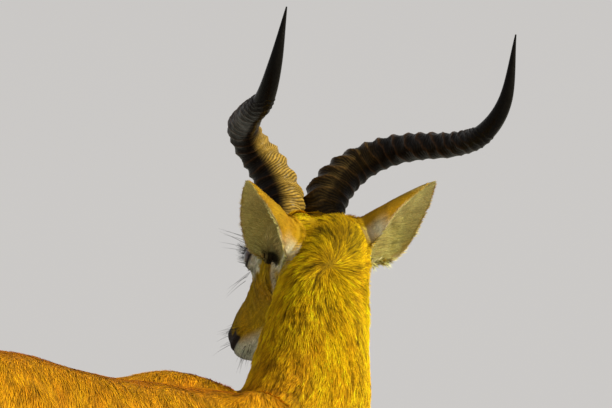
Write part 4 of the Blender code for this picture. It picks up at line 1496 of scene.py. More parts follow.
@dataclass
class Pelt:
    """What grows on the skin, and the colours of both."""

    skin: Skin
    palette: Palette
    leg_edge: Pair = (0.50, 0.42)
    leg_lie: Triple = (-0.12, 0.0, -1.0)
    hoof_fringe: float = 0.006
    ear_fringe: float = 0.0015
    ear_lining: float = 0.0025
    ear_root: float = 0.0045
    whorl_width: float = 0.014
    horn_base: Triple = (5.4, 3.6, 0.2)
    nose: tuple[Edges, ...] = (
        (("x", 26.2, 27.0), ("z", -6.7, -6.1), ("z", -2.6, -3.2)),
        (("x", 27.2, 27.9), ("z", -6.9, -6.3)),
        (("x", 24.9, 25.5), ("z", -7.7, -7.2), ("z", -5.7, -6.2)),
    )
    # How much darker the skin under the coat is, on the trunk and as changed on neck, face and ears:
    # partly the skin's own darker colour, partly painted shade deep in the coat
    under_trunk: float = 0.62
    under_neck: float = 0.17
    under_face: float = 0.30
    under_ears: float = 0.25
    lift_share: float = 0.125
    lift_range: Pair = (0.0005, 0.0030)

    def parts(self, shape: Shape) -> Parts:
        """The share of every point in each part of the body."""
        kob, points = self.skin.anatomy, shape.points
        head = kob.head_places(points)
        tail = kob.tailness(points)
        leg = step(*self.leg_edge, points[:, 2]) * (1 - tail)
        return Parts(points, shape.normals(), head, kob.headness(head), kob.neckness(points),
                     tail, leg, self.skin.ear_share(head))

    def hair(self, shape: Shape) -> Hair:
        """Lie, length, density, lift and colour of the coat at every point."""
        on = self.parts(shape)
        lie = self.trunk_lie(on.points)
        for layer, share in ((self.neck_lie(on.points, on.normals), on.neck),
                             (self.face_lie(on.head), on.face),
                             (repeated(self.leg_lie, len(on.points)), on.leg),
                             (self.tail_lie(on.points), on.tail),
                             (self.ear_lie(on.head), on.ears)):
            lie = mix(lie, layer, share)
        zone = np.full(len(on.points), Zone.TRUNK.value)
        for share, name in ((on.neck, Zone.NECK), (on.face, Zone.HEAD), (on.leg, Zone.LEGS),
                            (on.tail, Zone.TAIL), (on.ears, Zone.EARS)):
            zone[share > 0.5] = name.value
        bare = self.bareness(on.head)
        length, density, lift = self.growth(on, bare)
        colour = Pattern(self.skin.anatomy, self.palette).colours(on)
        colour = mix(colour, self.palette.colour("bare"), bare * on.face)
        under = (self.under_trunk - self.under_neck * on.neck
                 + self.under_face * on.face * (0.4 + 0.6 * bare))
        under = under + self.under_ears * on.ears
        return Hair(zone, laid(lie, on.normals), length, density, lift, colour, under)

    def trunk_lie(self, points: Array) -> Array:
        """Backwards along the spine, and down over the sides, breast and haunch."""
        x, y, _ = points.T
        drop = -0.40 - 0.9 * step(-0.28, -0.52, x) - 1.3 * step(0.30, 0.47, x)
        drop = drop - 1.3 * step(0.010, 0.075, np.abs(y))
        return np.column_stack([-np.ones(len(x)), np.zeros(len(x)), drop])

    def neck_lie(self, points: Array, normals: Array) -> Array:
        """Down the neck, but out of a whorl on the nape."""
        kob = self.skin.anatomy
        _, along, _ = kob.neck_places(points)
        rays = unit(points - np.array(kob.whorl))
        rays = rays + 0.4 * np.cross(normals, rays)
        return mix(-along, rays, 1.05 * bump(apart(points, kob.whorl), 0.115))

    def face_lie(self, head: Array) -> Array:
        """From the nose back over brow and cheek."""
        x, y, z = head.T
        out = 0.22 * np.sign(y) * step(0.0, 2.0, np.abs(y))
        down = -0.30 * step(-3.0, -8.0, z) + 0.15 * step(-3.0, 0.0, z)
        local = np.column_stack([-np.ones(len(x)), out, down])
        return local @ unit(self.skin.anatomy.to_world[:3, :3].T)

    def tail_lie(self, points: Array) -> Array:
        """Along the tail towards its end."""
        rows = curve(self.skin.anatomy.tail, np.linspace(0, 1, 40))[:, :3]
        offset = points[:, None, :] - rows[None]
        nearest = np.einsum("ijk,ijk->ij", offset, offset).argmin(1)
        return unit(np.gradient(rows, axis=0))[nearest]

    def ear_lie(self, head: Array) -> Array:
        """Along each ear, spreading to its rims."""
        total = np.zeros_like(head)
        for ear in self.skin.anatomy.ears:
            along, opening, across, _ = ear.axes()
            _, turn, depth = ear.places(head)
            fan = np.clip(turn, -1, 1)[:, None]
            inner = step(0.0, -0.15, depth)[:, None]
            local = along + across * fan * 0.55 + opening * np.abs(fan) * (0.35 + 0.4 * inner)
            chosen = (np.sign(head[:, 1]) == ear.side.value)[:, None]
            total = np.where(chosen, local, total)
        return total @ unit(self.skin.anatomy.to_world[:3, :3].T)

    def growth(self, on: Parts, bare: Array) -> tuple[Array, Array, Array]:
        """How the coat grows.

        Args:
            on: The points and their shares in the parts of the body.
            bare: 1 where nothing grows on the face.

        Returns:
            Length in metres, tufts on a square centimetre and lift of the tips in metres.
        """
        x, y, _ = on.head.T
        height = on.points[:, 2]
        none = np.zeros(len(height))
        length, density = GROWTH[Zone.TRUNK].at(step(0.60, 0.54, height))
        for zone, share, along in ((Zone.NECK, on.neck, none),
                                   (Zone.HEAD, on.face, step(8.0, 26.0, x)),
                                   (Zone.LEGS, on.leg, step(0.42, 0.20, height)),
                                   (Zone.TAIL, on.tail, step(0.80, 0.66, height)),
                                   (Zone.EARS, on.ears, none)):
            longer, denser = GROWTH[zone].at(along)
            length, density = fade(length, longer, share), fade(density, denser, share)
        length = length + self.hoof_fringe * (step(0.062, 0.050, height) * on.leg)
        for ear in self.skin.anatomy.ears:
            share, turn, depth = ear.places(on.head)
            leaf = on.ears * (np.sign(y) == ear.side.value)
            rim = step(0.80, 1.0, np.abs(turn)) * leaf
            inner = step(0.0, -0.12, depth) * leaf
            lining = self.ear_lining * inner * step(0.95, 0.6, share)
            length = length + self.ear_fringe * rim + lining
            length = length + self.ear_root * leaf * (1 - inner) * step(0.45, 0.12, share)
            density = density * (1 - 0.20 * inner)
        whorl = self.skin.anatomy.whorl
        top = on.neck * step(-0.02, 0.05, on.points[:, 2] - whorl[2]) * (1 - on.face)
        length = length * (1 - 0.45 * bump(apart(on.points, whorl), self.whorl_width))
        length = length * (1 - 0.42 * top)
        density = density * (1 + 0.5 * top)
        crown = step(6.0, 4.2, apart(folded(on.head), self.horn_base)) * on.face
        length = length * (1 - 0.45 * crown)
        lift = np.clip(length * self.lift_share, *self.lift_range)
        lift = lift * (1 - 0.45 * (1 - on.neck) * (1 - on.face) * (1 - on.tail)) * (1 - 0.6 * crown)
        lift = lift * (1 - 0.40 * top)
        return length, density * (1 - bare * on.face), lift

    def bareness(self, head: Array) -> Array:
        """1 on the nose pad, in the nostrils and at the rims of the lids."""
        x, _, z = head.T
        bare = step(1.15, 0.75, apart(folded(head), self.skin.nostril))
        for edges in self.nose:
            bare = np.maximum(bare, within(edges, x=x, z=z))
        for side in Side:
            offset = head - self.skin.anatomy.eye(side)
            far, facing, _, open_ = self.skin.round_eye(offset, side)
            near = (far < 2.7) * step(0.1, 0.4, facing)
            bare = np.maximum(bare, step(1.75, 1.35, open_) * near)
        return bare


# ---- Coat ----
@dataclass(frozen=True)
class Groom:
    """How the tufts of a zone look: their slimness, tones, shading and streaks."""

    slimness: float
    tones: Pair
    shade: Triple
    streak: float
    wobble: float = 0.16


GROOMS = {
    Zone.TRUNK: Groom(0.087, (0.66, 1.26), (0.30, 0.70, 1.25), 0.68, 0.13),
    Zone.NECK: Groom(0.082, (0.52, 1.34), (0.18, 0.58, 1.36), 0.85, 0.16),
    Zone.HEAD: Groom(0.105, (0.68, 1.24), (0.38, 0.76, 1.22), 0.42, 0.12),
    Zone.EARS: Groom(0.087, (0.76, 1.18), (0.58, 0.86, 1.14), 0.34, 0.12),
    Zone.LEGS: Groom(0.128, (0.76, 1.18), (0.45, 0.80, 1.16), 0.20, 0.10),
    Zone.TAIL: Groom(0.065, (0.70, 1.20), (0.40, 0.76, 1.18), 0.24, 0.10),
}


# Redder at the root and the sides of a tuft, yellower at its tip
CORNER_HUE = np.array([(1.0, 0.80, 0.6), (1.0, 0.90, 0.8), (1.0, 0.90, 0.8), (1.0, 1.06, 1.1)])


@dataclass
class Coat:
    """Small solid tufts that lie over the skin."""

    anatomy: Anatomy
    seed: int = 7
    most_tufts: int = 48000
    least_width: float = 0.00065
    cell: float = 0.004
    patch: float = 0.003
    lengths: Pair = (0.72, 1.22)
    widths: Pair = (0.8, 1.2)
    lifts: Pair = (0.5, 1.25)
    greens: Pair = (0.94, 1.06)
    fleck_share: float = 0.012
    fleck_tone: float = 0.5
    streak_width: float = 0.0025
    streak_reach: float = 0.010
    streak_steps: int = 7

    def pieces(self, shape: Shape, hair: Hair, room: Showroom) -> None:
        """Grow every zone's pieces and show them."""
        rng = np.random.default_rng(self.seed)
        normals = shape.normals()
        order = self.tidy_order(shape)
        tris = shape.tris[order]
        area = np.linalg.norm(Shape(shape.points, tris).face_normals(), axis=1) / 2
        zones = hair.zone[tris[:, 0]]
        density = hair.density[tris].mean(1) * 1e4
        for zone in Zone:
            chosen = np.flatnonzero((zones == zone.value) & (density > 0))
            total = np.cumsum(area[chosen] * density[chosen])
            count = int(total[-1])
            marks = (np.arange(count) + rng.random(count)) * total[-1] / count
            picked = tris[chosen[np.minimum(np.searchsorted(total, marks), len(chosen) - 1)]]
            weights = rng.dirichlet((1.0, 1.0, 1.0), count)
            parts = max(1, math.ceil(count / self.most_tufts))
            for part in range(parts):
                some = slice(part * count // parts, (part + 1) * count // parts)
                name = f"coat_{zone.name.lower()}_{part + 1}"
                self.piece(name, zone, shape.points, normals, hair, picked[some],
                           weights[some], rng, room)

    def tidy_order(self, shape: Shape) -> Array:
        """Order of the triangles in which neighbours in space follow each other."""
        middle = shape.points[shape.tris].mean(1)
        cells = ((middle - middle.min(0)) / self.cell).astype(np.int64)
        code = np.zeros(len(cells), np.int64)
        for bit in range(10):
            for axis in range(3):
                code |= ((cells[:, axis] >> bit) & 1) << (3 * bit + axis)
        return np.argsort(code, kind="stable")

    def piece(self, name: str, zone: Zone, points: Array, normals: Array, hair: Hair,
              picked: Array, weights: Array, rng: np.random.Generator,
              room: Showroom) -> None:
        """Build one piece of the coat from the triangles and places of its roots."""
        def at(values: Array) -> Array:
            """The values at the roots."""
            if values.ndim == 1:
                return (values[picked] * weights).sum(1)
            return np.einsum("ijk,ij->ik", values[picked], weights)

        root, normal = at(points), unit(at(normals))
        lie = at(hair.lie)
        count = len(root)
        groom = GROOMS[zone]
        turn = groom.wobble * (rng.normal(size=count) * 0.7 + ripple(root, 0.035, 61)
                               + ripple(root, 0.012, 62))
        side = np.cross(normal, lie)
        lie = unit(lie * np.cos(turn)[:, None] + side * np.sin(turn)[:, None])
        lie = laid(lie, normal)
        side = np.cross(normal, lie)
        length = at(hair.length) * rng.uniform(*self.lengths, count)
        width = np.maximum(length * groom.slimness, self.least_width)
        width = width * rng.uniform(*self.widths, count)
        streak = self.streaks(root, lie)
        lift = at(hair.lift) * rng.uniform(*self.lifts, count) * (1 + 0.3 * streak)
        middle = root + lie * (0.22 * length)[:, None]
        half = side * (width / 2)[:, None]
        sunk = normal * (0.02 * lift)[:, None]
        corners = np.stack([
            root - lie * (0.06 * length)[:, None] - normal * (0.12 * lift)[:, None],
            middle + half - sunk,
            middle - half - sunk,
            root + lie * length[:, None] + normal * lift[:, None],
        ], 1)
        faces = np.array([[0, 3, 1], [0, 2, 3], [1, 3, 2], [0, 1, 2]])
        start = np.arange(count)[:, None, None] * 4
        shape = Shape(corners.reshape(-1, 3), (faces[None] + start).reshape(-1, 3))
        shape.facing_out()
        tone = rng.uniform(*groom.tones, count) * (1 + 0.10 * ripple(root, 0.03, 71))
        # Darker along the streaks: partly tone of the locks, partly painted shade in the partings of
        # the coat
        tone = tone * np.maximum(0.12, 1 + groom.streak * streak)
        fleck = rng.random(count) < self.fleck_share
        tone = np.where(fleck, tone * self.fleck_tone, tone)
        base = at(hair.colour) * tone[:, None]
        base[:, 1] *= rng.uniform(*self.greens, count) * (1 + 0.06 * ripple(root, 0.05, 72))
        shade = np.array(groom.shade)[[0, 1, 1, 2], None] * CORNER_HUE
        colours = np.clip(base[:, None, :] * shade[None], 0.0, 1.0)
        spots = self.unwrapped(zone, root)
        made = room.show(name, shape, HAIR, colours.reshape(-1, 3), smooth=False)
        self.store_map(made, shape.tris, spots)

    def streaks(self, root: Array, lie: Array) -> Array:
        """Soft stripes that follow the lie of the coat, about -1 to 1."""
        total = np.zeros(len(root))
        steps = np.linspace(-1.0, 1.0, self.streak_steps) * self.streak_reach
        for away in steps:
            total += speckle(root + lie * away, self.streak_width, 81)
        return np.clip(total / len(steps) * 2.6, -1.0, 1.0)

    def store_map(self, piece: bpy.types.Object, tris: Array, spots: Array) -> None:
        """Give each tuft a small patch of the map at its root's place."""
        corner = np.array([[0.5, 0.4], [0.0, 0.0], [1.0, 0.0], [0.5, 1.0]]) - 0.5
        flat = tris.ravel()
        places = spots[flat // 4] + corner[flat % 4] * self.patch
        layer = piece.data.uv_layers.new(name="OFBake")
        layer.data.foreach_set("uv", places.astype(np.float32).ravel())

    def unwrapped(self, zone: Zone, root: Array) -> Array:
        """Where roots lie on an unrolling of the skin, as two shares."""
        kob = self.anatomy
        x, y, z = root.T
        head = kob.head_places(root)
        if zone is Zone.HEAD:
            u = (head[:, 0] + 6.0) / 38.0
            v = turned(head[:, 1], head[:, 2] + 6.5)
        elif zone is Zone.NECK:
            u = (root - kob.neck[0, :3]) @ np.array([0.45, 0.20, 0.87]) / 0.62 + 0.12
            rows = kob.neck_rows(kob.neck_places(root)[0])
            back, side = kob.neck_axes(rows)
            offset = root - rows[:, :3]
            v = turned(dots(offset, side), dots(offset, back))
        elif zone is Zone.EARS:
            u, v = np.zeros(len(root)), np.zeros(len(root))
            for place, ear in enumerate(kob.ears):
                share, turn, depth = ear.places(head)
                chosen = np.sign(head[:, 1]) == ear.side.value
                strip = 2 * place + (depth < 0)
                u = np.where(chosen, share * 0.9 + 0.04, u)
                v = np.where(chosen, (strip + 0.5 + np.clip(turn, -1.1, 1.1) * 0.42) / 4, v)
        elif zone is Zone.LEGS:
            ax, ay = kob.leg_axis(root)
            turn = turned(y - ay, x - ax)
            strip = 2 * (x > 0) + (y > 0)
            u, v = z / 0.56, (strip + 0.04 + 0.92 * turn) / 4
        elif zone is Zone.TAIL:
            u = (z - 0.5) / 0.45
            v = turned(y - 0.008, x + 0.582)
        else:
            u = (x + 0.62) / 1.20
            v = turned(y, z - 0.72)
        return np.clip(np.column_stack([u, v]), 0.004, 0.996)


# ---- Horns, eyes, hooves and bristles ----
@dataclass
class Horns:
    """The stout, heavily ringed horns."""

    anatomy: Anatomy
    axis: Array = table(
        # x, y, z and radius in head centimetres, from inside the skull to the tip
        (6.6, 3.4, -2.2, 2.95),
        (4.8, 3.3, 1.9, 2.88),
        (3.1, 5.5, 5.8, 2.60),
        (1.1, 8.7, 8.1, 2.25),
        (-2.7, 11.5, 7.75, 1.98),
        (-8.05, 13.4, 4.8, 1.78),
        (-13.95, 15.6, 1.1, 1.62),
        (-20.4, 16.7, -1.7, 1.40),
        (-26.9, 17.5, -0.4, 0.97),
        (-32.4, 17.3, 5.3, 0.10),
    )
    tip_line: Triple = (-0.70, 0.0, 0.72)
    right_reach: float = 1.25
    rings: int = 21
    ringed_share: float = 0.78
    depth: float = 0.27
    slant: float = 0.028
    front_share: float = 0.58
    ringed_turn: float = 40.0
    fine_rings: int = 118
    sections: int = 600
    sides: int = 44
    dark: Rgb = (15, 12, 10)
    # Colour of the ring crests: partly wear, partly painted highlight
    brown: Rgb = (112, 76, 44)
    # Tan of the worn base, shown on the left horn; leaving it almost off the right horn is painted
    # shade
    wear_and_painted_light: Rgb = (186, 148, 66)

    def path(self, side: Side) -> Array:
        """Stations of the axis of one horn."""
        rows = self.axis * np.array([1, side.value, 1, 1])
        if side is Side.RIGHT:
            rows[-1, :3] += np.array(self.tip_line) * self.right_reach
        return rows

    def bounds(self) -> Array:
        """Shares of the length at which the rings begin and end."""
        place = (np.arange(self.rings) + 0.5) / self.rings
        width = 0.24 + 1.05 * np.sin(math.pi * place**0.78)
        return np.append(0.0, np.cumsum(width)) / width.sum() * self.ringed_share

    def crest(self, share: Array) -> tuple[Array, Array]:
        """Height of the rings, 0 to 1, and their strength at shares of the length."""
        ends = self.bounds()
        number = np.clip(np.searchsorted(ends, share, "right") - 1, 0, self.rings - 1)
        low, high = ends[number], ends[number + 1]
        phase = np.clip((share - low) / (high - low), 0, 1)
        rise = np.where(phase < 0.45, phase / 0.45, (1 - phase) / 0.55)
        strength = np.minimum(1.0, 0.45 + 0.11 * number) * (1 - 0.45 * number / self.rings)
        return rise**1.5 * (share < self.ringed_share), strength

    def build(self, side: Side, room: Showroom) -> None:
        """One horn from under the skin of the forehead to its sharp tip."""
        share = np.linspace(0, 1, self.sections)
        rows = curve(self.path(side), share)
        _, front, across = carried_frames(rows[:, :3], AHEAD)
        turn = turns(self.sides)
        inner = turn * -side.value
        facing = 0.5 + 0.5 * np.cos(inner - math.radians(self.ringed_turn))
        waver = 0.0036 * np.sin(2 * turn[None, :] + 40 * share[:, None]) + 0.0022 * np.sin(
            5 * turn[None, :] + 95 * share[:, None])
        oblique = self.slant * np.cos(inner - math.radians(self.ringed_turn))
        along = share[:, None] + waver + oblique * step(0.0, 0.10, share)[:, None]
        rise, strength = self.crest(np.clip(along, 0, 1))
        sharper = 1 - self.front_share + self.front_share * facing**1.3
        ringed = step(self.ringed_share + 0.03, self.ringed_share - 0.06, share)[:, None]
        fine = np.sin(2 * math.pi * self.fine_rings * (share[:, None] + 1.4 * waver))
        lean = 1 + self.depth * strength * rise * sharper
        lean = lean + 0.011 * fine * ringed * (1 - 0.6 * rise)
        rng = np.random.default_rng(3 + side.value)
        grooves = sum(np.sin(turn * k + rng.uniform(0, 6)) for k in (9, 13, 17))
        lean = lean * (1 - 0.004 * grooves[None, :] * step(1.0, 0.8, share)[:, None])
        lean = lean * (1 + rng.normal(size=lean.shape) * 0.0028 * ringed)
        radius = rows[:, 3][:, None] * lean
        rings = swept(rows[:, :3], front, across, radius * np.cos(turn), radius * np.sin(turn))
        shape = tube(rings).carried(self.anatomy.to_world)
        away = np.abs(np.arctan2(np.sin(inner - 1.95), np.cos(inner - 1.95)))
        base = step(0.45, 0.36, share)[:, None] * step(1.75, 1.15, away)[None, :]
        # Painted shade: the right horn's base keeps almost none of the tan that the left one shows
        base = base * (1.0 if side is Side.LEFT else 0.10)
        # Brown on the ring crests: partly wear, partly painted highlight, strongest on the ringed side
        wear_and_painted_light = (0.75 * rise**4 * (0.35 + 0.65 * facing**2) * ringed + 0.04 * fine * ringed) * (
            step(0.85, 0.60, share) * step(0.02, 0.22, share))[:, None]
        colours = mix(srgb(*self.dark), srgb(*self.brown), np.clip(wear_and_painted_light, 0, 1).ravel())
        tan = np.clip(base * (0.60 + 0.40 * fine) * (0.65 + 0.35 * rise), 0, 1)
        colours = mix(colours, srgb(*self.wear_and_painted_light), tan.ravel())
        colours = np.vstack([colours, colours[:1], colours[-1:]])
        room.show(f"horn_ringed_{side.word}", shape, HORN, colours,
                  (f"horn_{side.word}",))


@dataclass
class Eyes:
    """Eyeballs with their dark lid rims."""

    anatomy: Anatomy
    lids: Lids
    rim_radius: float = 0.12
    rim_lift: float = 0.07
    rim_breadth: float = 1.3
    fit: float = 0.985
    pupil: Pair = (0.46, 0.24)
    iris_reach: float = 0.74
    white: Rgb = (40, 26, 20)
    iris: Rgb = (64, 34, 15)
    black: Rgb = (8, 6, 8)
    lid: Rgb = (30, 22, 20)

    def build(self, side: Side, room: Showroom) -> None:
        """One eyeball and its rim."""
        kob = self.anatomy
        centre = kob.eye(side)
        out, ahead, up = self.lids.axes(side)
        shape = ball((0, 0, 0), (1, 1, 1), 48, 64)
        local = shape.points.copy()
        basis = np.stack([ahead, np.cross(out, ahead), out])
        bulge = 1 + 0.035 * step(0.55, 0.95, local[:, 2])
        radius = kob.eye_radius * self.fit
        shape.points = centre + (local * bulge[:, None] @ basis) * radius
        shape.facing_out()
        a, b = local[:, 0], local[:, 1]
        pupil = step(1.15, 0.85, (a / self.pupil[0]) ** 2 + (b / self.pupil[1]) ** 2)
        iris = step(self.iris_reach + 0.05, self.iris_reach - 0.05, np.hypot(a, b))
        rays = 0.8 + 0.4 * np.abs(np.sin(np.arctan2(b, a) * 23))
        colours = mix(srgb(*self.white), srgb(*self.iris) * rays[:, None], iris)
        colours = mix(colours, srgb(*self.black), pupil * (local[:, 2] > 0))
        room.show(f"eyeball_{side.word}", shape.carried(kob.to_world), EYE, colours,
                  (f"eye_{side.word}",))
        room.show(f"lid_rim_{side.word}", self.rim(centre, out, ahead, up), RIM,
                  srgb(*self.lid))

    def rim(self, centre: Array, out: Array, ahead: Array, up: Array) -> Shape:
        """The dark bare edge of the lids, as a closed ring on the eyeball."""
        turn = turns(96)
        a, b = self.lids.edge(turn)
        radius = self.anatomy.eye_radius
        depth = np.sqrt(np.maximum(radius**2 - a**2 - b**2, 0.05))
        outward = unit(a[:, None] * ahead + b[:, None] * up + depth[:, None] * out)
        path = outward * (radius + self.rim_lift)
        along = unit(np.roll(path, -1, 0) - np.roll(path, 1, 0))
        across = np.cross(along, outward)
        spin = turns(10)
        thick = self.rim_radius * (1 + 0.5 * bump(a - self.lids.half_length, 0.3))
        rings = swept(centre + path, outward, across, thick[:, None] * np.cos(spin),
                      self.rim_breadth * thick[:, None] * np.sin(spin))
        return hoop(rings).carried(self.anatomy.to_world)


@dataclass
class Bristles:
    """Lashes over the eyes and whiskers about eyes and muzzle."""

    anatomy: Anatomy
    lids: Lids
    seed: int = 17
    thickness: float = 0.040
    upper_lashes: int = 54
    lower_lashes: int = 16
    lip_whiskers: int = 16
    chin_whiskers: int = 12
    colour: Rgb = (24, 18, 15)

    def spike(self, root: Array, way: Array, bend: Array, length: float) -> Shape:
        """One thin closed spike in head centimetres."""
        t = np.linspace(0, 1, 7)[:, None]
        path = root + way * length * t + bend * length * t**2
        _, first, second = carried_frames(path, (0.3, 0.5, 0.81))
        spin = turns(4)
        radius = self.thickness * (1 - 0.93 * t)
        return tube(swept(path, first, second, radius * np.cos(spin), radius * np.sin(spin)))

    def lashes(self, side: Side, rng: np.random.Generator) -> list[Shape]:
        """Two rows on the upper lid and a sparse one on the lower."""
        centre = self.anatomy.eye(side)
        out, ahead, up = self.lids.axes(side)
        made = []
        for turn in np.concatenate([rng.uniform(0.25, 2.9, self.upper_lashes),
                                    rng.uniform(3.5, 5.9, self.lower_lashes)]):
            a, b = self.lids.edge(np.array(turn))
            radius = self.anatomy.eye_radius
            depth = math.sqrt(max(radius**2 - a**2 - b**2, 0.05))
            root = unit(a * ahead + b * up + depth * out) * (radius + 0.12)
            rise = 1.0 if turn < math.pi else -0.55
            way = unit(out + up * 0.35 * rise + ahead * 0.35 * a + rng.normal(size=3) * 0.09)
            length = rng.uniform(0.9, 1.5) * (1.0 if rise > 0 else 0.45)
            made.append(self.spike(centre + root, way, up * 0.35 * rise, length))
        return made

    def whiskers(self, side: Side, rng: np.random.Generator) -> list[Shape]:
        """Long stiff hairs over and under the eye, on the lips and on the chin."""
        y = side.value
        x0, y0, z0 = self.anatomy.eye_centre
        spots = [((x0 + dx, (y0 + 1.1) * y, z0 + dz), (0.35, 0.8 * y, 0.55 * math.copysign(1, dz)),
                  rng.uniform(3.4, 5.4)) for dx, dz in
                 ((-1.2, 2.3), (-0.8, 2.4), (-0.2, 2.5), (0.4, 2.5), (1.0, 2.3), (1.5, 2.1),
                  (0.2, -2.5), (0.9, -2.4), (1.6, -2.4), (2.4, -2.6))]
        spots += [((rng.uniform(24.0, 28.0), 3.0 * y, rng.uniform(-7.0, -5.2)),
                   (0.45, y, -0.25), rng.uniform(1.6, 3.2))
                  for _ in range(self.lip_whiskers)]
        spots += [((rng.uniform(24.5, 28.2), rng.uniform(0.5, 2.0) * y, -8.7),
                   (0.55, 0.35 * y, -1.0), rng.uniform(1.6, 3.0))
                  for _ in range(self.chin_whiskers)]
        return [self.spike(np.array(root), unit(np.array(way) + rng.normal(size=3) * 0.15),
                           np.array([-0.10, 0.0, -0.18]), length)
                for root, way, length in spots]

    def build(self, room: Showroom) -> None:
        """All bristles of the head as one piece."""
        rng = np.random.default_rng(self.seed)
        shapes = []
        for side in Side:
            shapes += self.lashes(side, rng) + self.whiskers(side, rng)
        shape = Shape.joined(shapes).carried(self.anatomy.to_world)
        room.show("lashes_and_whiskers", shape, BRISTLE, srgb(*self.colour))


@dataclass
class Hooves:
    """Two claws and two dewclaws on every foot."""

    anatomy: Anatomy
    height: float = 0.044
    length: float = 0.078
    width: float = 0.026
    spread: float = 0.0135
    dewclaw_height: float = 0.098
    dewclaw_radii: Triple = (0.0075, 0.0065, 0.0110)
    dewclaw_tilt: float = 0.5
    colour: Rgb = (42, 34, 30)

    def claw(self, leg: str, half: int) -> Shape:
        """One claw: half is 1 for the outer and -1 for the inner."""
        stations = self.anatomy.stations(leg)
        side = side_of(leg)
        middle = stations[-1, 0] + float(self.anatomy.leg_shift(leg, np.array(0.0)))
        level = stations[-1, 1] * side + self.spread * half * side
        share = np.concatenate([[0.0, 0.03], np.linspace(0.07, 0.93, 15), [1.0, 1.02]])
        rim = np.interp(share, [0, 0.03, 0.07, 0.93, 1.0, 1.02], [0.9, 0.96, 1, 1, 0.96, 0.7])
        rim = rim * (1 + 0.006 * np.sin(share * 42))
        heel = middle - self.length * (0.44 - 0.06 * share)
        toe = middle + self.length * (0.56 - 0.34 * share)
        turn = turns(36)
        c, s = np.cos(turn), np.sin(turn)
        reach = ((toe - heel) / 2 * rim)[:, None]
        wide = (self.width / 2 * (1 - 0.14 * share) * rim)[:, None]
        x = ((toe + heel) / 2)[:, None] + reach * c
        ahead = np.maximum(0, c)
        y = level + wide * s * (1 - 0.30 * ahead) - half * side * 0.003 * ahead * (
            1 - share[:, None])
        z = np.broadcast_to(self.height * share[:, None], x.shape)
        return tube(np.stack([x, y, z], -1))

    def dewclaws(self, leg: str) -> Shape:
        """The two small claws behind the fetlock."""
        side = side_of(leg)
        front = 1.0 if leg.startswith("fore") else -1.0
        x, y = self.anatomy.leg_axis(np.array([[front, side, self.dewclaw_height]]))
        rows = self.anatomy.stations(leg)[::-1]
        back = np.interp(self.dewclaw_height, rows[:, 2], rows[:, 3])
        made = []
        for half in (1, -1):
            claw = ball((0, 0, 0), self.dewclaw_radii, 12, 16)
            place = Matrix.Translation((x[0] - back * 0.93, y[0] + half * 0.0105,
                                        self.dewclaw_height - 0.004))
            made.append(claw.carried(np.array(place @ Matrix.Rotation(self.dewclaw_tilt, 4, "Y"))))
        return Shape.joined(made)

    def build(self, leg: str, room: Showroom) -> None:
        """The claws of one foot."""
        for name, half in (("outer", 1), ("inner", -1)):
            shape = self.claw(leg, half)
            shade = 0.8 + 0.5 * shape.points[:, 2:3] / self.height
            room.show(f"hoof_{leg}_{name}", shape, HOOF,
                      srgb(*self.colour) * shade, (f"claw_{leg}_{name}",))
        room.show(f"dewclaws_{leg}", self.dewclaws(leg), HOOF,
                  srgb(*self.colour))


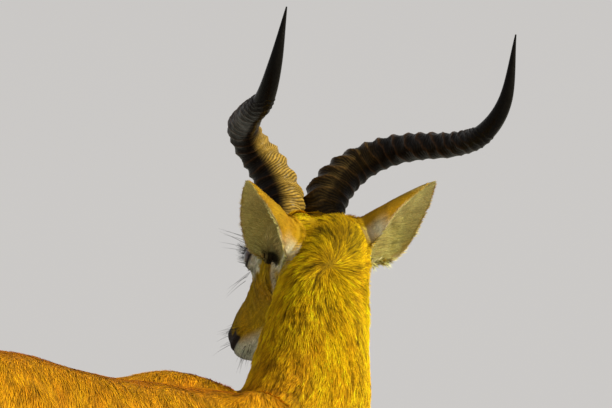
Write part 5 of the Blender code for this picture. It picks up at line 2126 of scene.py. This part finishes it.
# ---- Studio ----
@dataclass
class Studio:
    """Pale floor, soft light and the camera."""

    shift: Array
    azimuth: float = -55.0
    aim: Triple = (0.4386, -0.0193, 1.162)
    distance: float = 12.0
    lens: float = 508.2
    floor_radius: float = 24.0
    floor_sides: int = 96
    floor_tones: tuple[Triple, Triple] = ((0.44, 0.43, 0.42), (0.49, 0.48, 0.47))
    key: tuple[float, float, Triple] = (5.0, 2.5, (1.0, 0.99, 0.74))
    fill: tuple[float, float, Triple] = (0.12, 40.0, (0.85, 0.93, 1.0))
    horizon: Triple = (0.60, 0.585, 0.57)
    zenith: Triple = (0.24, 0.235, 0.24)

    def across(self) -> Array:
        """Unit vector to the right of the picture."""
        turn = math.radians(self.azimuth)
        return np.array([math.cos(turn), math.sin(turn), 0.0])

    def ahead(self) -> Array:
        """Unit vector away from the camera."""
        right = self.across()
        return np.array([-right[1], right[0], 0.0])

    def camera(self) -> None:
        """The camera at the height of the animal's head, looking level."""
        data = bpy.data.cameras.new("camera")
        data.lens = self.lens
        data.sensor_width = 36.0
        data.clip_end = 400.0
        made = bpy.data.objects.new("camera", data)
        made.location = np.array(self.aim) + self.shift - self.ahead() * self.distance
        made.rotation_euler = (math.radians(90), 0.0, math.radians(self.azimuth))
        bpy.context.scene.collection.objects.link(made)
        bpy.context.scene.camera = made

    def sun(self, name: str, towards: Array, strength: float, spread: float,
            colour: Triple) -> None:
        """A soft distant lamp that stands in the given direction."""
        data = bpy.data.lights.new(name, "SUN")
        data.energy = strength
        data.angle = math.radians(spread)
        data.color = colour
        made = bpy.data.objects.new(name, data)
        made.rotation_euler = Vector(towards).to_track_quat("Z", "Y").to_euler()
        bpy.context.scene.collection.objects.link(made)

    @staticmethod
    def toned(tree: bpy.types.NodeTree, source: bpy.types.NodeSocket,
              tones: tuple[Triple, Triple], target: bpy.types.NodeSocket) -> None:
        """Colour a socket between two tones, led by another socket."""
        ramp = tree.nodes.new("ShaderNodeValToRGB")
        for stop, tone in zip(ramp.color_ramp.elements, tones):
            stop.color = (*tone, 1.0)
        tree.links.new(source, ramp.inputs["Fac"])
        tree.links.new(ramp.outputs["Color"], target)

    def lights(self) -> None:
        """Warm key from the right, weak fill from the left and a pale sky."""
        right, ahead, up = self.across(), self.ahead(), np.array(UP)
        self.sun("key", right * 0.95 - ahead * 0.30 + up * 0.53, *self.key)
        self.sun("fill", -right * 0.8 - ahead * 0.6 + up * 0.5, *self.fill)
        world = bpy.data.worlds.new("sky")
        world.use_nodes = True
        nodes, links = world.node_tree.nodes, world.node_tree.links
        place = nodes.new("ShaderNodeTexCoord")
        split = nodes.new("ShaderNodeSeparateXYZ")
        links.new(place.outputs["Generated"], split.inputs["Vector"])
        self.toned(world.node_tree, split.outputs["Z"], (self.horizon, self.zenith),
                   nodes["Background"].inputs["Color"])
        bpy.context.scene.world = world

    def floor(self) -> None:
        """A wide pale floor."""
        count = self.floor_sides
        turn = turns(count)
        rim = np.column_stack([np.cos(turn), np.sin(turn), np.zeros(count)]) * self.floor_radius
        around = np.arange(count)
        fan = np.stack([around, np.roll(around, -1), np.full(count, count)], -1)
        made = new_object("floor", Shape(np.vstack([rim, [0, 0, 0]]), fan), smooth=False)
        look = bpy.data.materials.new("floor")
        look.use_nodes = True
        nodes = look.node_tree.nodes
        noise = nodes.new("ShaderNodeTexNoise")
        noise.inputs["Scale"].default_value = 3.0
        self.toned(look.node_tree, noise.outputs["Fac"], self.floor_tones,
                   nodes["Principled BSDF"].inputs["Base Color"])
        nodes["Principled BSDF"].inputs["Roughness"].default_value = 0.9
        made.data.materials.append(look)

    def build(self) -> None:
        """Set up the whole studio."""
        bpy.context.scene.view_settings.view_transform = "Standard"
        self.camera()
        self.lights()
        self.floor()


# ---- The model ----
def packed_shift(kob: Anatomy) -> Array:
    """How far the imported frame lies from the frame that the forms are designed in."""
    low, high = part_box("eye_left")
    centre = (np.array(low) + np.array(high)) / 2
    return centre - (kob.to_world[:3, :3] @ np.array(kob.eye_centre) + kob.to_world[:3, 3])


def main() -> None:
    """Build every piece of the kob and its studio."""
    logging.basicConfig(level=logging.INFO, format="%(name)s: %(message)s")
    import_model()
    kob = Anatomy()
    shift = packed_shift(kob)
    room = Showroom(shift)
    studio = Studio(shift)
    studio.build()
    skin = Skin(kob)
    shape = skin.shape()
    hair = Pelt(skin, Palette()).hair(shape)
    grown = Shape(shape.points.copy(), shape.tris.copy())
    # The skin has the coat's colours, darkened: partly its own darker colour, partly painted shade
    # deep in the coat
    room.show("skin", shape, HIDE, hair.colour * hair.under[:, None], skin.replaced)
    Coat(kob).pieces(grown, hair, room)
    for side in Side:
        Horns(kob).build(side, room)
        Eyes(kob, skin.lids).build(side, room)
    Bristles(kob, skin.lids).build(room)
    for leg in kob.stance:
        Hooves(kob).build(leg, room)


if __name__ == "__main__":
    main()
